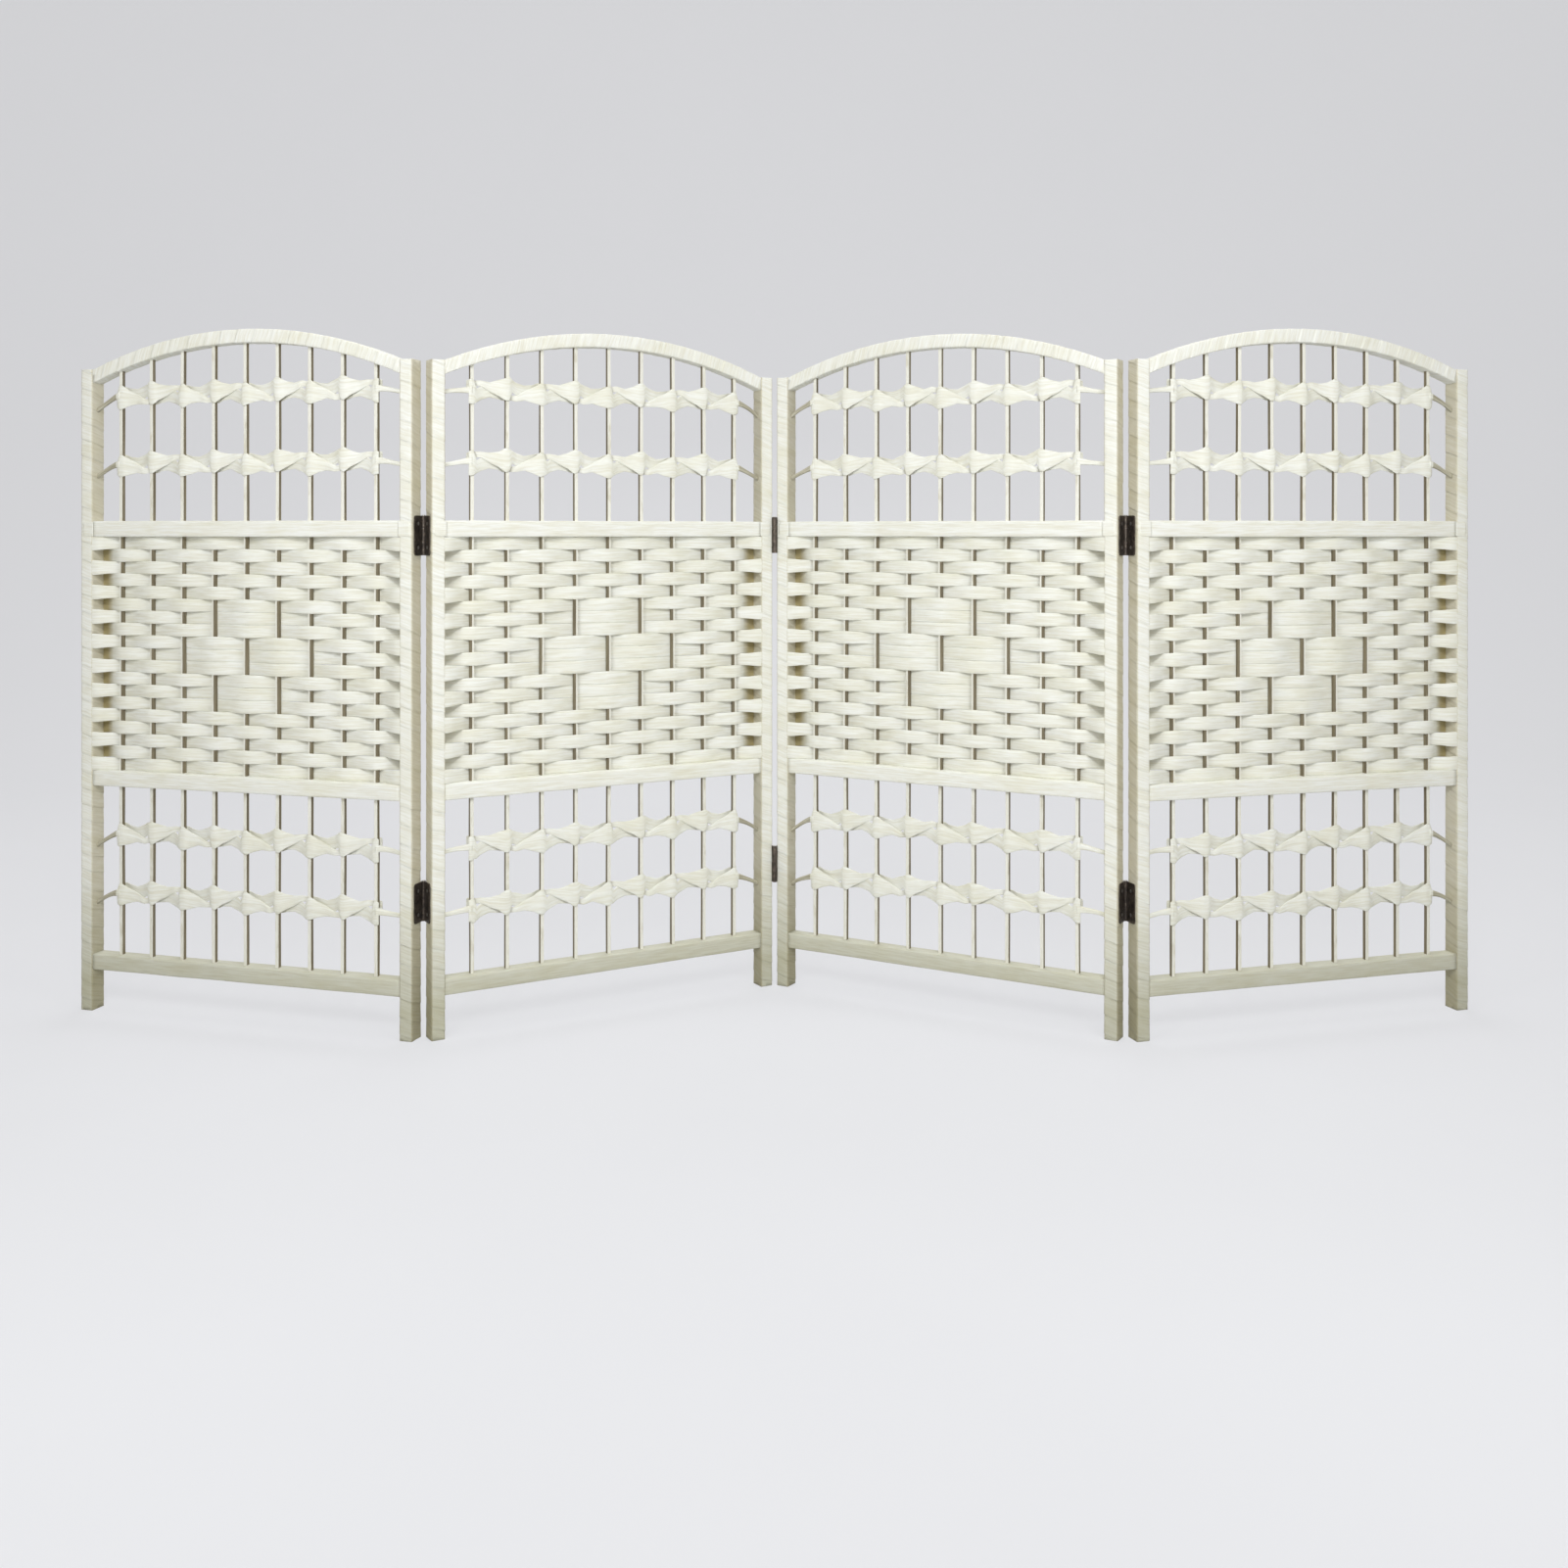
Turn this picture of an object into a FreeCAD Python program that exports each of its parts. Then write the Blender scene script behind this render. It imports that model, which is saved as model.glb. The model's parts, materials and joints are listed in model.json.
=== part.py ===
import FreeCAD, Part
import math
import os

import Sketcher

# A low folding screen of four woven panels, standing in a zigzag. All lengths are millimetres.
# +Z is up, the front of the screen looks along -Y, and the origin lies on the floor,
# under the middle of the whole screen.
# A panel's own frame has X across the panel, Y through its thickness and Z up from the floor.

PANELS = ("panel_1", "panel_2", "panel_3", "panel_4")
STICK_COUNT = 9
WEFT_COUNT = 19

# Each joint: the panel on its left, the panel on its right, and the face that carries the
# hinge knuckles.
JOINTS = {
    "joint_1": ("panel_1", "panel_2", "back"),
    "joint_2": ("panel_2", "panel_3", "front"),
    "joint_3": ("panel_3", "panel_4", "back"),
}
HINGE_LEVELS = ("lower", "upper")
SCREW_PLACES = ("low", "high")

# Rows of the weave that draw its diamond, counted from the top, with the sticks where such a
# row changes sides, counted from the left.
DIAMOND_ROWS = {7: (4, 5, 6), 10: (3, 4, 5, 6, 7), 13: (4, 5, 6)}

DRIVING_SIZES = {
    # Frame of one panel
    "panel_width": 490,
    "stile_height": 850,
    "stile_width": 18,
    "stile_depth": 24,
    "rail_height": 21,
    "rail_depth": 22,
    "edge_easing": 1.5,
    "leg_length": 54,
    "lower_rail_level": 298,
    "upper_rail_level": 628,
    "arch_rise": 46,
    "arch_thickness": 18,
    # Tenons that hold the rails in the stiles
    "tenon_length": 8,
    "tenon_thickness": 10,
    "tenon_shoulder": 4,
    "tenon_root": 3,
    "tenon_clearance": 0.1,
    # Upright sticks
    "stick_width": 5,
    "stick_depth": 6,
    "stick_end_gap": 37.8,
    "stick_socket": 9,
    "stick_clearance": 0.1,
    # Paper ribbons of the weave
    "ribbon_thickness": 1,
    "ribbon_clearance": 0.2,
    "ribbon_bend": 1,
    "weft_gap": 0.8,
    "weft_lap": 14,
    # Paper ribbons of the open lattice, with each band's level taken from the nearest rail
    "lattice_ribbon_width": 16,
    "lattice_swing": 7,
    "link_width": 6,
    "link_drop": 9,
    "arch_band_drop": 17,
    "upper_rail_band_rise": 75,
    "lower_rail_band_drop": 62,
    "bottom_rail_band_rise": 82,
    # Hinges
    "lower_hinge_level": 170,
    "upper_hinge_level": 630,
    "leaf_height": 50,
    "leaf_width": 19,
    "leaf_thickness": 1.2,
    "leaf_clearance": 0.6,
    "leaf_corner": 4,
    "knuckle_diameter": 6,
    "middle_knuckle": 18,
    "knuckle_gap": 0.2,
    "pin_diameter": 3,
    "pin_head_diameter": 4.6,
    "pin_head_height": 1,
    "pin_clearance": 0.05,
    "screw_diameter": 2.9,
    "screw_head_diameter": 4.7,
    "screw_spread": 15,
    "screw_wall": 1.5,
    "screw_clearance": 0.05,
    # How far the panels are turned from the screen's length, in degrees
    "outer_turn": 16,
    "inner_turn": 30,
}


def derived_sizes(size):
    """Lengths that follow from the driving sizes."""
    out = {}
    out["half_width"] = size["panel_width"] / 2
    out["half_depth"] = size["stile_depth"] / 2
    out["half_opening"] = out["half_width"] - size["stile_width"]

    # Tenons and mortises
    out["tenon_reach"] = out["half_opening"] + size["tenon_length"]
    out["arch_tenon_start"] = out["half_opening"] - size["tenon_root"]
    out["rail_tenon_high"] = size["rail_height"] - size["tenon_shoulder"]
    out["arch_tenon_high"] = size["arch_thickness"] - size["tenon_shoulder"]
    out["mortise_depth"] = size["tenon_length"] + size["tenon_clearance"]
    out["mortise_half_thickness"] = size["tenon_thickness"] / 2 + size["tenon_clearance"]
    out["spring_level"] = size["stile_height"] - size["arch_thickness"]
    rails = {
        "bottom": (size["leg_length"], out["rail_tenon_high"]),
        "lower": (size["lower_rail_level"], out["rail_tenon_high"]),
        "upper": (size["upper_rail_level"], out["rail_tenon_high"]),
        "top": (out["spring_level"], out["arch_tenon_high"]),
    }
    for rail, (level, tenon_high) in rails.items():
        out[f"{rail}_mortise_low"] = level + size["tenon_shoulder"] - size["tenon_clearance"]
        out[f"{rail}_mortise_high"] = level + tenon_high + size["tenon_clearance"]

    # Arch of the top rail, measured from its underside at the stiles
    out["arch_radius"] = (out["half_opening"] ** 2 + size["arch_rise"] ** 2) / (2 * size["arch_rise"])
    out["arch_centre_drop"] = out["arch_radius"] - size["arch_rise"]
    out["arch_top_centre_drop"] = out["arch_centre_drop"] - size["arch_thickness"]

    # Sticks, by their distance from the middle stick
    middle = STICK_COUNT // 2
    pitch = (out["half_opening"] - size["stick_end_gap"]) / middle
    out["half_stick_width"] = size["stick_width"] / 2
    out["half_stick_depth"] = size["stick_depth"] / 2
    half_hole_width = out["half_stick_width"] + size["stick_clearance"]
    out["half_hole_depth"] = out["half_stick_depth"] + size["stick_clearance"]
    out["socket_floor"] = size["rail_height"] - size["stick_socket"]
    out["stick_foot"] = size["leg_length"] + out["socket_floor"]
    for step in range(middle + 1):
        offset = step * pitch
        rise = math.sqrt(out["arch_radius"] ** 2 - offset ** 2) - out["arch_centre_drop"]
        out[f"stick_{step}_offset"] = offset
        out[f"stick_{step}_inner_side"] = offset - out["half_stick_width"]
        out[f"stick_{step}_outer_side"] = offset + out["half_stick_width"]
        out[f"stick_{step}_hole_inner"] = offset - half_hole_width
        out[f"stick_{step}_hole_outer"] = offset + half_hole_width
        out[f"stick_{step}_socket_top"] = rise + size["stick_socket"]
        stick_top = out["spring_level"] + out[f"stick_{step}_socket_top"] - size["stick_clearance"]
        out[f"stick_{step}_length"] = stick_top - out["stick_foot"]

    # Weave, between the lower and the upper rail
    out["weave_low"] = size["lower_rail_level"] + size["rail_height"]
    out["weave_high"] = size["upper_rail_level"]
    out["weft_pitch"] = (out["weave_high"] - out["weave_low"]) / WEFT_COUNT
    out["weft_height"] = out["weft_pitch"] - size["weft_gap"]
    out["ribbon_offset"] = out["half_stick_depth"] + size["ribbon_clearance"]

    # Hinges, measured from the pin's axis
    out["half_gap"] = size["leaf_thickness"] + size["leaf_clearance"] / 2
    out["knuckle_radius"] = size["knuckle_diameter"] / 2
    out["leaf_near"] = out["knuckle_radius"] + size["leaf_clearance"] / 2
    out["leaf_far"] = out["leaf_near"] + size["leaf_width"]
    out["neck_root"] = out["leaf_near"] + size["leaf_thickness"]
    out["half_leaf_height"] = size["leaf_height"] / 2
    out["half_middle_knuckle"] = size["middle_knuckle"] / 2
    out["outer_knuckle_low"] = out["half_middle_knuckle"] + size["knuckle_gap"]
    out["outer_knuckle"] = out["half_leaf_height"] - out["outer_knuckle_low"]
    out["pin_radius"] = size["pin_diameter"] / 2
    out["pin_head_radius"] = size["pin_head_diameter"] / 2
    out["bore_radius"] = out["pin_radius"] + size["pin_clearance"]
    out["pivot_x"] = out["half_width"] + out["half_gap"]
    out["pivot_y"] = out["half_depth"] + out["knuckle_radius"]

    # Hinge screws
    out["screw_radius"] = size["screw_diameter"] / 2
    out["screw_head_radius"] = size["screw_head_diameter"] / 2
    out["screw_head_height"] = out["screw_head_radius"] - out["screw_radius"]
    out["screw_hole_radius"] = out["screw_radius"] + size["screw_clearance"]
    out["screw_hole_depth"] = size["stile_width"] - out["mortise_depth"] - size["screw_wall"]
    out["screw_length"] = size["leaf_thickness"] + out["screw_hole_depth"] - size["screw_clearance"]
    out["screw_drop"] = (out["leaf_near"] + out["leaf_far"]) / 2
    out["screw_inset"] = out["pivot_y"] - out["screw_drop"]
    for level in HINGE_LEVELS:
        for place, sign in zip(SCREW_PLACES, (-1, 1)):
            height = size[f"{level}_hinge_level"] + sign * size["screw_spread"]
            out[f"{level}_hinge_screw_{place}"] = height
    return out


doc = FreeCAD.newDocument("folding_screen")
sheet = doc.addObject("Spreadsheet::Sheet", "Sizes")
size = dict(DRIVING_SIZES)
size.update(derived_sizes(DRIVING_SIZES))
for row, (alias, value) in enumerate(size.items(), start=1):
    sheet.set(f"A{row}", alias)
    sheet.set(f"B{row}", repr(float(value)))
    sheet.setAlias(f"B{row}", alias)
doc.recompute()
nodes = []


# Sizes by name

def number(text):
    """The value of a size named in text, which may have a minus sign in front."""
    if text == "0":
        return 0.0
    if text.startswith("-"):
        return -sheet.get(text[1:])
    return sheet.get(text)


def formula(text):
    """The expression that binds a property to the size named in text."""
    if text == "0":
        return "0"
    if text.startswith("-"):
        return "-Sizes." + text[1:]
    return "Sizes." + text


def signed(sign, name):
    return name if sign > 0 else "-" + name


def bind(thing, **properties):
    """Bind properties of a document object to named sizes."""
    for prop, text in properties.items():
        thing.setExpression(prop, formula(text))


def stick_places():
    """The sticks from left to right: the side of the middle stick, and steps away from it."""
    middle = STICK_COUNT // 2
    for index in range(STICK_COUNT):
        yield (1 if index >= middle else -1), abs(index - middle)


# Sketches and features

def new_body(label):
    body = doc.addObject("PartDesign::Body", label)
    body.Label = label
    return body


def add_sketch(body, role, name, offset=None):
    """A sketch on one of the body's own planes, or that far in front of it."""
    planes = {feature.Role: feature for feature in body.Origin.OriginFeatures}
    sketch = body.newObject("Sketcher::SketchObject", name)
    sketch.AttachmentSupport = [(planes[role], "")]
    sketch.MapMode = "FlatFace"
    if offset:
        sketch.setExpression("AttachmentOffset.Base.z", formula(offset))
    return sketch


def fix_point(sketch, geometry, point, x=None, y=None):
    """Set a sketch point's coordinates to named sizes."""
    for kind, text in (("DistanceX", x), ("DistanceY", y)):
        if text is None:
            continue
        index = sketch.addConstraint(Sketcher.Constraint(kind, geometry, point, number(text)))
        sketch.setExpression(f"Constraints[{index}]", formula(text))


def fix_radius(sketch, geometry, text):
    index = sketch.addConstraint(Sketcher.Constraint("Radius", geometry, number(text)))
    sketch.setExpression(f"Constraints[{index}]", formula(text))


def join_ends(sketch, pairs):
    for (first, first_point), (second, second_point) in pairs:
        sketch.addConstraint(Sketcher.Constraint("Coincident", first, first_point, second, second_point))


def add_rectangle(sketch, left, right, low, high):
    corners = [
        FreeCAD.Vector(number(left), number(low), 0),
        FreeCAD.Vector(number(right), number(low), 0),
        FreeCAD.Vector(number(right), number(high), 0),
        FreeCAD.Vector(number(left), number(high), 0),
    ]
    sides = []
    for start, end in zip(corners, corners[1:] + corners[:1]):
        sides.append(sketch.addGeometry(Part.LineSegment(start, end), False))
    for side, following, direction in zip(sides, sides[1:] + sides[:1], ("Horizontal", "Vertical") * 2):
        join_ends(sketch, [((side, 2), (following, 1))])
        sketch.addConstraint(Sketcher.Constraint(direction, side))
    fix_point(sketch, sides[0], 1, left, low)
    fix_point(sketch, sides[2], 1, right, high)


def add_circle(sketch, x, y, radius):
    centre = FreeCAD.Vector(number(x), number(y), 0)
    circle = sketch.addGeometry(Part.Circle(centre, FreeCAD.Vector(0, 0, 1), number(radius)), False)
    fix_point(sketch, circle, 3, x, y)
    fix_radius(sketch, circle, radius)


def add_stick_hole(sketch, sign, step):
    """The outline of a stick's hole; sign is the side of the middle stick that it is on."""
    sides = (f"stick_{step}_hole_inner", f"stick_{step}_hole_outer")
    if sign < 0:
        sides = (signed(-1, sides[1]), signed(-1, sides[0]))
    add_rectangle(sketch, *sides, "-half_hole_depth", "half_hole_depth")


def pad(body, sketch, length, symmetric=False):
    feature = body.newObject("PartDesign::Pad", sketch.Name + "_pad")
    feature.Profile = sketch
    if symmetric:
        feature.SideType = "Symmetric"
    bind(feature, Length=length)


def pocket(body, sketch, depth, along_normal=False, symmetric=False):
    """Cut a sketch into the body, against the sketch plane's normal or along it."""
    feature = body.newObject("PartDesign::Pocket", sketch.Name + "_pocket")
    feature.Profile = sketch
    feature.Reversed = along_normal
    if symmetric:
        feature.SideType = "Symmetric"
    bind(feature, Length=depth)


def dress_edges(body, kind, size_name, test):
    """Round or bevel the edges of the body so far that pass a test."""
    doc.recompute()
    base = body.Tip
    edges = [f"Edge{place}" for place, edge in enumerate(base.Shape.Edges, start=1) if test(edge)]
    feature = body.newObject(f"PartDesign::{kind}", body.Name + "_edges")
    feature.Base = (base, edges)
    bind(feature, **{"Radius" if kind == "Fillet" else "Size": size_name})


def finish_node(node, placement):
    """Put a finished sub-part in its place and keep it for export."""
    node.Placement = placement
    nodes.append(node)


def add_group(label, members, placement):
    """A node made of several separate solids."""
    group = doc.addObject("Part::Compound", label)
    group.Label = label
    group.Links = members
    finish_node(group, placement)


def add_shape(label, solids, placement):
    """A node whose solids are worked out point by point."""
    feature = doc.addObject("Part::Feature", label)
    feature.Label = label
    feature.Shape = Part.makeCompound(solids)
    finish_node(feature, placement)


# Where the panels stand

def shift(x=0.0, y=0.0, z=0.0):
    return FreeCAD.Placement(FreeCAD.Vector(x, y, z), FreeCAD.Rotation())


def knuckle_face(joint):
    """1 where the hinge knuckles of a joint are at the back, -1 where they are at the front."""
    face = JOINTS[joint][2]
    return 1 if face == "back" else -1


def hinge_axis(end, face):
    """A hinge pin's axis in a panel's frame: end is -1 for left and 1 for right."""
    return FreeCAD.Vector(end * number("pivot_x"), face * number("pivot_y"), 0)


def stand_panels():
    """The panels' placements, with the whole zigzag centred on the origin."""
    turns = {
        "panel_1": -number("outer_turn"),
        "panel_2": number("inner_turn"),
        "panel_3": -number("inner_turn"),
        "panel_4": number("outer_turn"),
    }

    def hang(panel, end, face, axis):
        """Turn a panel and bring the hinge axis at one of its ends to a point."""
        turn = FreeCAD.Rotation(FreeCAD.Vector(0, 0, 1), turns[panel])
        return FreeCAD.Placement(axis - turn.multVec(hinge_axis(end, face)), turn)

    places = {}
    middle_axis = FreeCAD.Vector(0, 0, 0)
    left_face, middle_face, right_face = (knuckle_face(joint) for joint in JOINTS)
    places["panel_2"] = hang("panel_2", 1, middle_face, middle_axis)
    places["panel_3"] = hang("panel_3", -1, middle_face, middle_axis)
    left_axis = places["panel_2"].multVec(hinge_axis(-1, left_face))
    places["panel_1"] = hang("panel_1", 1, left_face, left_axis)
    right_axis = places["panel_3"].multVec(hinge_axis(1, right_face))
    places["panel_4"] = hang("panel_4", -1, right_face, right_axis)

    depths = []
    for place in places.values():
        for end in (-1, 1):
            for face in (-1, 1):
                corner = FreeCAD.Vector(end * number("half_width"), face * number("half_depth"), 0)
                depths.append(place.multVec(corner).y)
    centring = shift(y=-(min(depths) + max(depths)) / 2)
    return {panel: centring.multiply(place) for panel, place in places.items()}


# Frame of a panel

def make_stile(label, end, hinge_face, panel_place):
    """An upright of the frame, in a frame of its own with its inner side at X = 0.

    end is -1 for the panel's left stile and 1 for the right one. hinge_face is the face that
    carries the knuckles of the hinges on this stile, or 0 where it has none.
    """
    body = new_body(label)
    section = add_sketch(body, "XY_Plane", "stile_section")
    width = ("0", "stile_width") if end > 0 else ("-stile_width", "0")
    add_rectangle(section, *width, "-half_depth", "half_depth")
    pad(body, section, "stile_height")
    dress_edges(body, "Fillet", "edge_easing", lambda edge: edge.BoundBox.ZLength > number("leg_length"))

    mortises = add_sketch(body, "YZ_Plane", "mortises")
    for rail in ("bottom", "lower", "upper", "top"):
        add_rectangle(mortises, "-mortise_half_thickness", "mortise_half_thickness",
                      f"{rail}_mortise_low", f"{rail}_mortise_high")
    pocket(body, mortises, "mortise_depth", along_normal=end > 0)

    # Shallow rebates in front and behind, where the ends of the woven ribbons are let in
    lap = ("0", "weft_lap") if end > 0 else ("-weft_lap", "0")
    for face in (-1, 1):
        rebate = add_sketch(body, "XZ_Plane", "weave_rebate", signed(-face, "half_depth"))
        add_rectangle(rebate, *lap, "weave_low", "weave_high")
        pocket(body, rebate, "ribbon_thickness", along_normal=face > 0)

    if hinge_face:
        holes = add_sketch(body, "YZ_Plane", "screw_holes", signed(end, "stile_width"))
        for level in HINGE_LEVELS:
            for place in SCREW_PLACES:
                height = f"{level}_hinge_screw_{place}"
                add_circle(holes, signed(hinge_face, "screw_inset"), height, "screw_hole_radius")
        pocket(body, holes, "screw_hole_depth", along_normal=end < 0)
    finish_node(body, panel_place.multiply(shift(x=end * number("half_opening"))))


def make_rail(label, level, sticks_pass, panel_place):
    """A straight rail with a tenon at each end, in a frame of its own with its underside at Z = 0."""
    body = new_body(label)
    front = add_sketch(body, "XZ_Plane", "rail_front")
    add_rectangle(front, "-half_opening", "half_opening", "0", "rail_height")
    pad(body, front, "rail_depth", symmetric=True)
    dress_edges(body, "Fillet", "edge_easing", lambda edge: edge.BoundBox.XLength > number("half_opening"))

    tenons = add_sketch(body, "XZ_Plane", "rail_tenons")
    add_rectangle(tenons, "-tenon_reach", "tenon_reach", "tenon_shoulder", "rail_tenon_high")
    pad(body, tenons, "tenon_thickness", symmetric=True)

    holes = add_sketch(body, "XY_Plane", "stick_holes", None if sticks_pass else "socket_floor")
    for sign, step in stick_places():
        add_stick_hole(holes, sign, step)
    pocket(body, holes, "rail_height" if sticks_pass else "stick_socket", along_normal=True)
    finish_node(body, panel_place.multiply(shift(z=number(level))))


def make_top_rail(label, panel_place):
    """The arched top rail, in a frame of its own with its underside at the stiles at Z = 0."""
    body = new_body(label)
    outline = add_sketch(body, "XZ_Plane", "arch_outline")
    half = number("half_opening")
    angle = math.atan2(number("arch_centre_drop"), half)
    curves = []
    for drop in ("-arch_centre_drop", "-arch_top_centre_drop"):
        centre = FreeCAD.Vector(0, number(drop), 0)
        ring = Part.Circle(centre, FreeCAD.Vector(0, 0, 1), number("arch_radius"))
        curve = outline.addGeometry(Part.ArcOfCircle(ring, angle, math.pi - angle), False)
        fix_point(outline, curve, 3, "0", drop)
        fix_radius(outline, curve, "arch_radius")
        curves.append(curve)
    underside, crest = curves
    ends = []
    for end in (1, -1):
        foot = FreeCAD.Vector(end * half, 0, 0)
        head = FreeCAD.Vector(end * half, number("arch_thickness"), 0)
        line = outline.addGeometry(Part.LineSegment(foot, head), False)
        outline.addConstraint(Sketcher.Constraint("Vertical", line))
        fix_point(outline, line, 1, x=signed(end, "half_opening"))
        ends.append(line)
    right, left = ends
    join_ends(outline, [((underside, 1), (right, 1)), ((right, 2), (crest, 1)),
                        ((crest, 2), (left, 2)), ((left, 1), (underside, 2))])
    pad(body, outline, "rail_depth", symmetric=True)
    dress_edges(body, "Chamfer", "edge_easing", lambda edge: edge.BoundBox.XLength > number("half_opening"))

    tenons = add_sketch(body, "XZ_Plane", "arch_tenons")
    for reach in (("-tenon_reach", "-arch_tenon_start"), ("arch_tenon_start", "tenon_reach")):
        add_rectangle(tenons, *reach, "tenon_shoulder", "arch_tenon_high")
    pad(body, tenons, "tenon_thickness", symmetric=True)

    # Sockets for the sticks, as deep above the arch's underside at every stick
    for step in range(STICK_COUNT // 2 + 1):
        sockets = add_sketch(body, "XY_Plane", "stick_sockets")
        for sign in (-1, 1)[:1 if step == 0 else 2]:
            add_stick_hole(sockets, sign, step)
        pocket(body, sockets, f"stick_{step}_socket_top", along_normal=True)
    finish_node(body, panel_place.multiply(shift(z=number("spring_level"))))


def make_sticks(label, panel_place):
    """The upright flat-sided sticks, from their sockets in the bottom rail up into the arch."""
    sticks = []
    for sign, step in stick_places():
        stick = doc.addObject("Part::Box", "stick")
        bind(stick, Length="stick_width", Width="stick_depth", Height=f"stick_{step}_length")
        left_side = f"stick_{step}_inner_side" if sign > 0 else f"-stick_{step}_outer_side"
        stick.setExpression("Placement.Base.x", formula(left_side))
        stick.setExpression("Placement.Base.y", formula("-half_stick_depth"))
        stick.setExpression("Placement.Base.z", formula("stick_foot"))
        sticks.append(stick)
    add_group(label, sticks, panel_place)


# Paper ribbons

def stick_line():
    """The sticks' distances from the panel's middle, from left to right."""
    return [sign * number(f"stick_{step}_offset") for sign, step in stick_places()]


def weft_in_front(row, stick):
    """Whether a row of the weave passes in front of a stick; both count from 1."""
    in_front = (row + stick) % 2 == 1
    if stick in DIAMOND_ROWS.get(row, ()):
        return not in_front
    return in_front


def weft_path(row):
    """A woven ribbon's middle line seen from above, between its laps on the two stiles."""
    thickness = number("ribbon_thickness")
    beside = number("ribbon_offset") + thickness / 2
    hug = number("half_stick_width")
    lap_y = number("half_depth") - thickness / 2
    inner_end = number("half_opening") - number("ribbon_bend")
    outer_end = number("half_opening") + number("weft_lap") - number("ribbon_clearance")
    if weft_in_front(row, 1):
        stile_face = 1
    else:
        stile_face = -1
    path = [(-outer_end, stile_face * lap_y), (-inner_end, stile_face * lap_y)]
    for stick, x in enumerate(stick_line(), start=1):
        y = -beside if weft_in_front(row, stick) else beside
        path += [(x - hug, y), (x + hug, y)]
    path += [(inner_end, stile_face * lap_y), (outer_end, stile_face * lap_y)]
    return path


def offset_path(path, distance):
    """A path moved sideways, with its corners mitred."""
    moved = []
    for place, (x, y) in enumerate(path):
        before = path[max(place - 1, 0)]
        after = path[min(place + 1, len(path) - 1)]
        angle_in = math.atan2(y - before[1], x - before[0])
        angle_out = math.atan2(after[1] - y, after[0] - x)
        if place == 0:
            angle_in = angle_out
        if place == len(path) - 1:
            angle_out = angle_in
        middle = (angle_in + angle_out) / 2
        reach = distance / math.cos((angle_out - angle_in) / 2)
        moved.append((x - reach * math.sin(middle), y + reach * math.cos(middle)))
    return moved


def extruded_outline(points, direction):
    """A prism on a closed outline."""
    return Part.Face(Part.makePolygon(points + points[:1])).extrude(direction)


def make_wefts(label, panel_place):
    """The woven ribbons, one above the other, in and out between the sticks."""
    half_thickness = number("ribbon_thickness") / 2
    solids = []
    for row in range(1, WEFT_COUNT + 1):
        low = number("weave_high") - row * number("weft_pitch") + number("weft_gap") / 2
        path = weft_path(row)
        outline = offset_path(path, -half_thickness) + offset_path(path, half_thickness)[::-1]
        points = [FreeCAD.Vector(x, y, low) for x, y in outline]
        solids.append(extruded_outline(points, FreeCAD.Vector(0, 0, number("weft_height"))))
    add_shape(label, solids, panel_place)


def lattice_ribbon(level, phase):
    """One zigzag ribbon of a lattice band; phase is 1 in front of the sticks and -1 behind them."""
    half_width = number("lattice_ribbon_width") / 2
    half_link = number("link_width") / 2
    link_level = level - number("link_drop")
    stations = [(-number("half_opening"), link_level, half_link)]
    for stick, x in enumerate(stick_line(), start=1):
        swing = phase if stick % 2 else -phase
        stations.append((x, level + swing * number("lattice_swing"), half_width))
    stations.append((number("half_opening"), link_level, half_link))
    near = number("ribbon_offset")
    thickness = number("ribbon_thickness")
    y = -near if phase > 0 else near
    upper_edge = [FreeCAD.Vector(x, y, height + half) for x, height, half in stations]
    lower_edge = [FreeCAD.Vector(x, y, height - half) for x, height, half in stations]
    return extruded_outline(upper_edge + lower_edge[::-1], FreeCAD.Vector(0, -phase * thickness, 0))


def make_lattice(label, levels, panel_place):
    """The bands of an open lattice, each of one ribbon in front of the sticks and one behind."""
    solids = [lattice_ribbon(level, phase) for level in levels for phase in (1, -1)]
    add_shape(label, solids, panel_place)


# Hinges, each leaf drawn about the pin's axis for a right stile with knuckles behind

def leaf_placement(end, face, level):
    """Where a leaf goes in a panel's frame."""
    if end > 0 and face > 0:
        turn = FreeCAD.Rotation()
    elif end < 0 and face > 0:
        turn = FreeCAD.Rotation(FreeCAD.Vector(0, 1, 0), 180)
    elif end > 0:
        turn = FreeCAD.Rotation(FreeCAD.Vector(1, 0, 0), 180)
    else:
        turn = FreeCAD.Rotation(FreeCAD.Vector(0, 0, 1), 180)
    axis = hinge_axis(end, face)
    axis.z = number(f"{level}_hinge_level")
    return FreeCAD.Placement(axis, turn)


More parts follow.
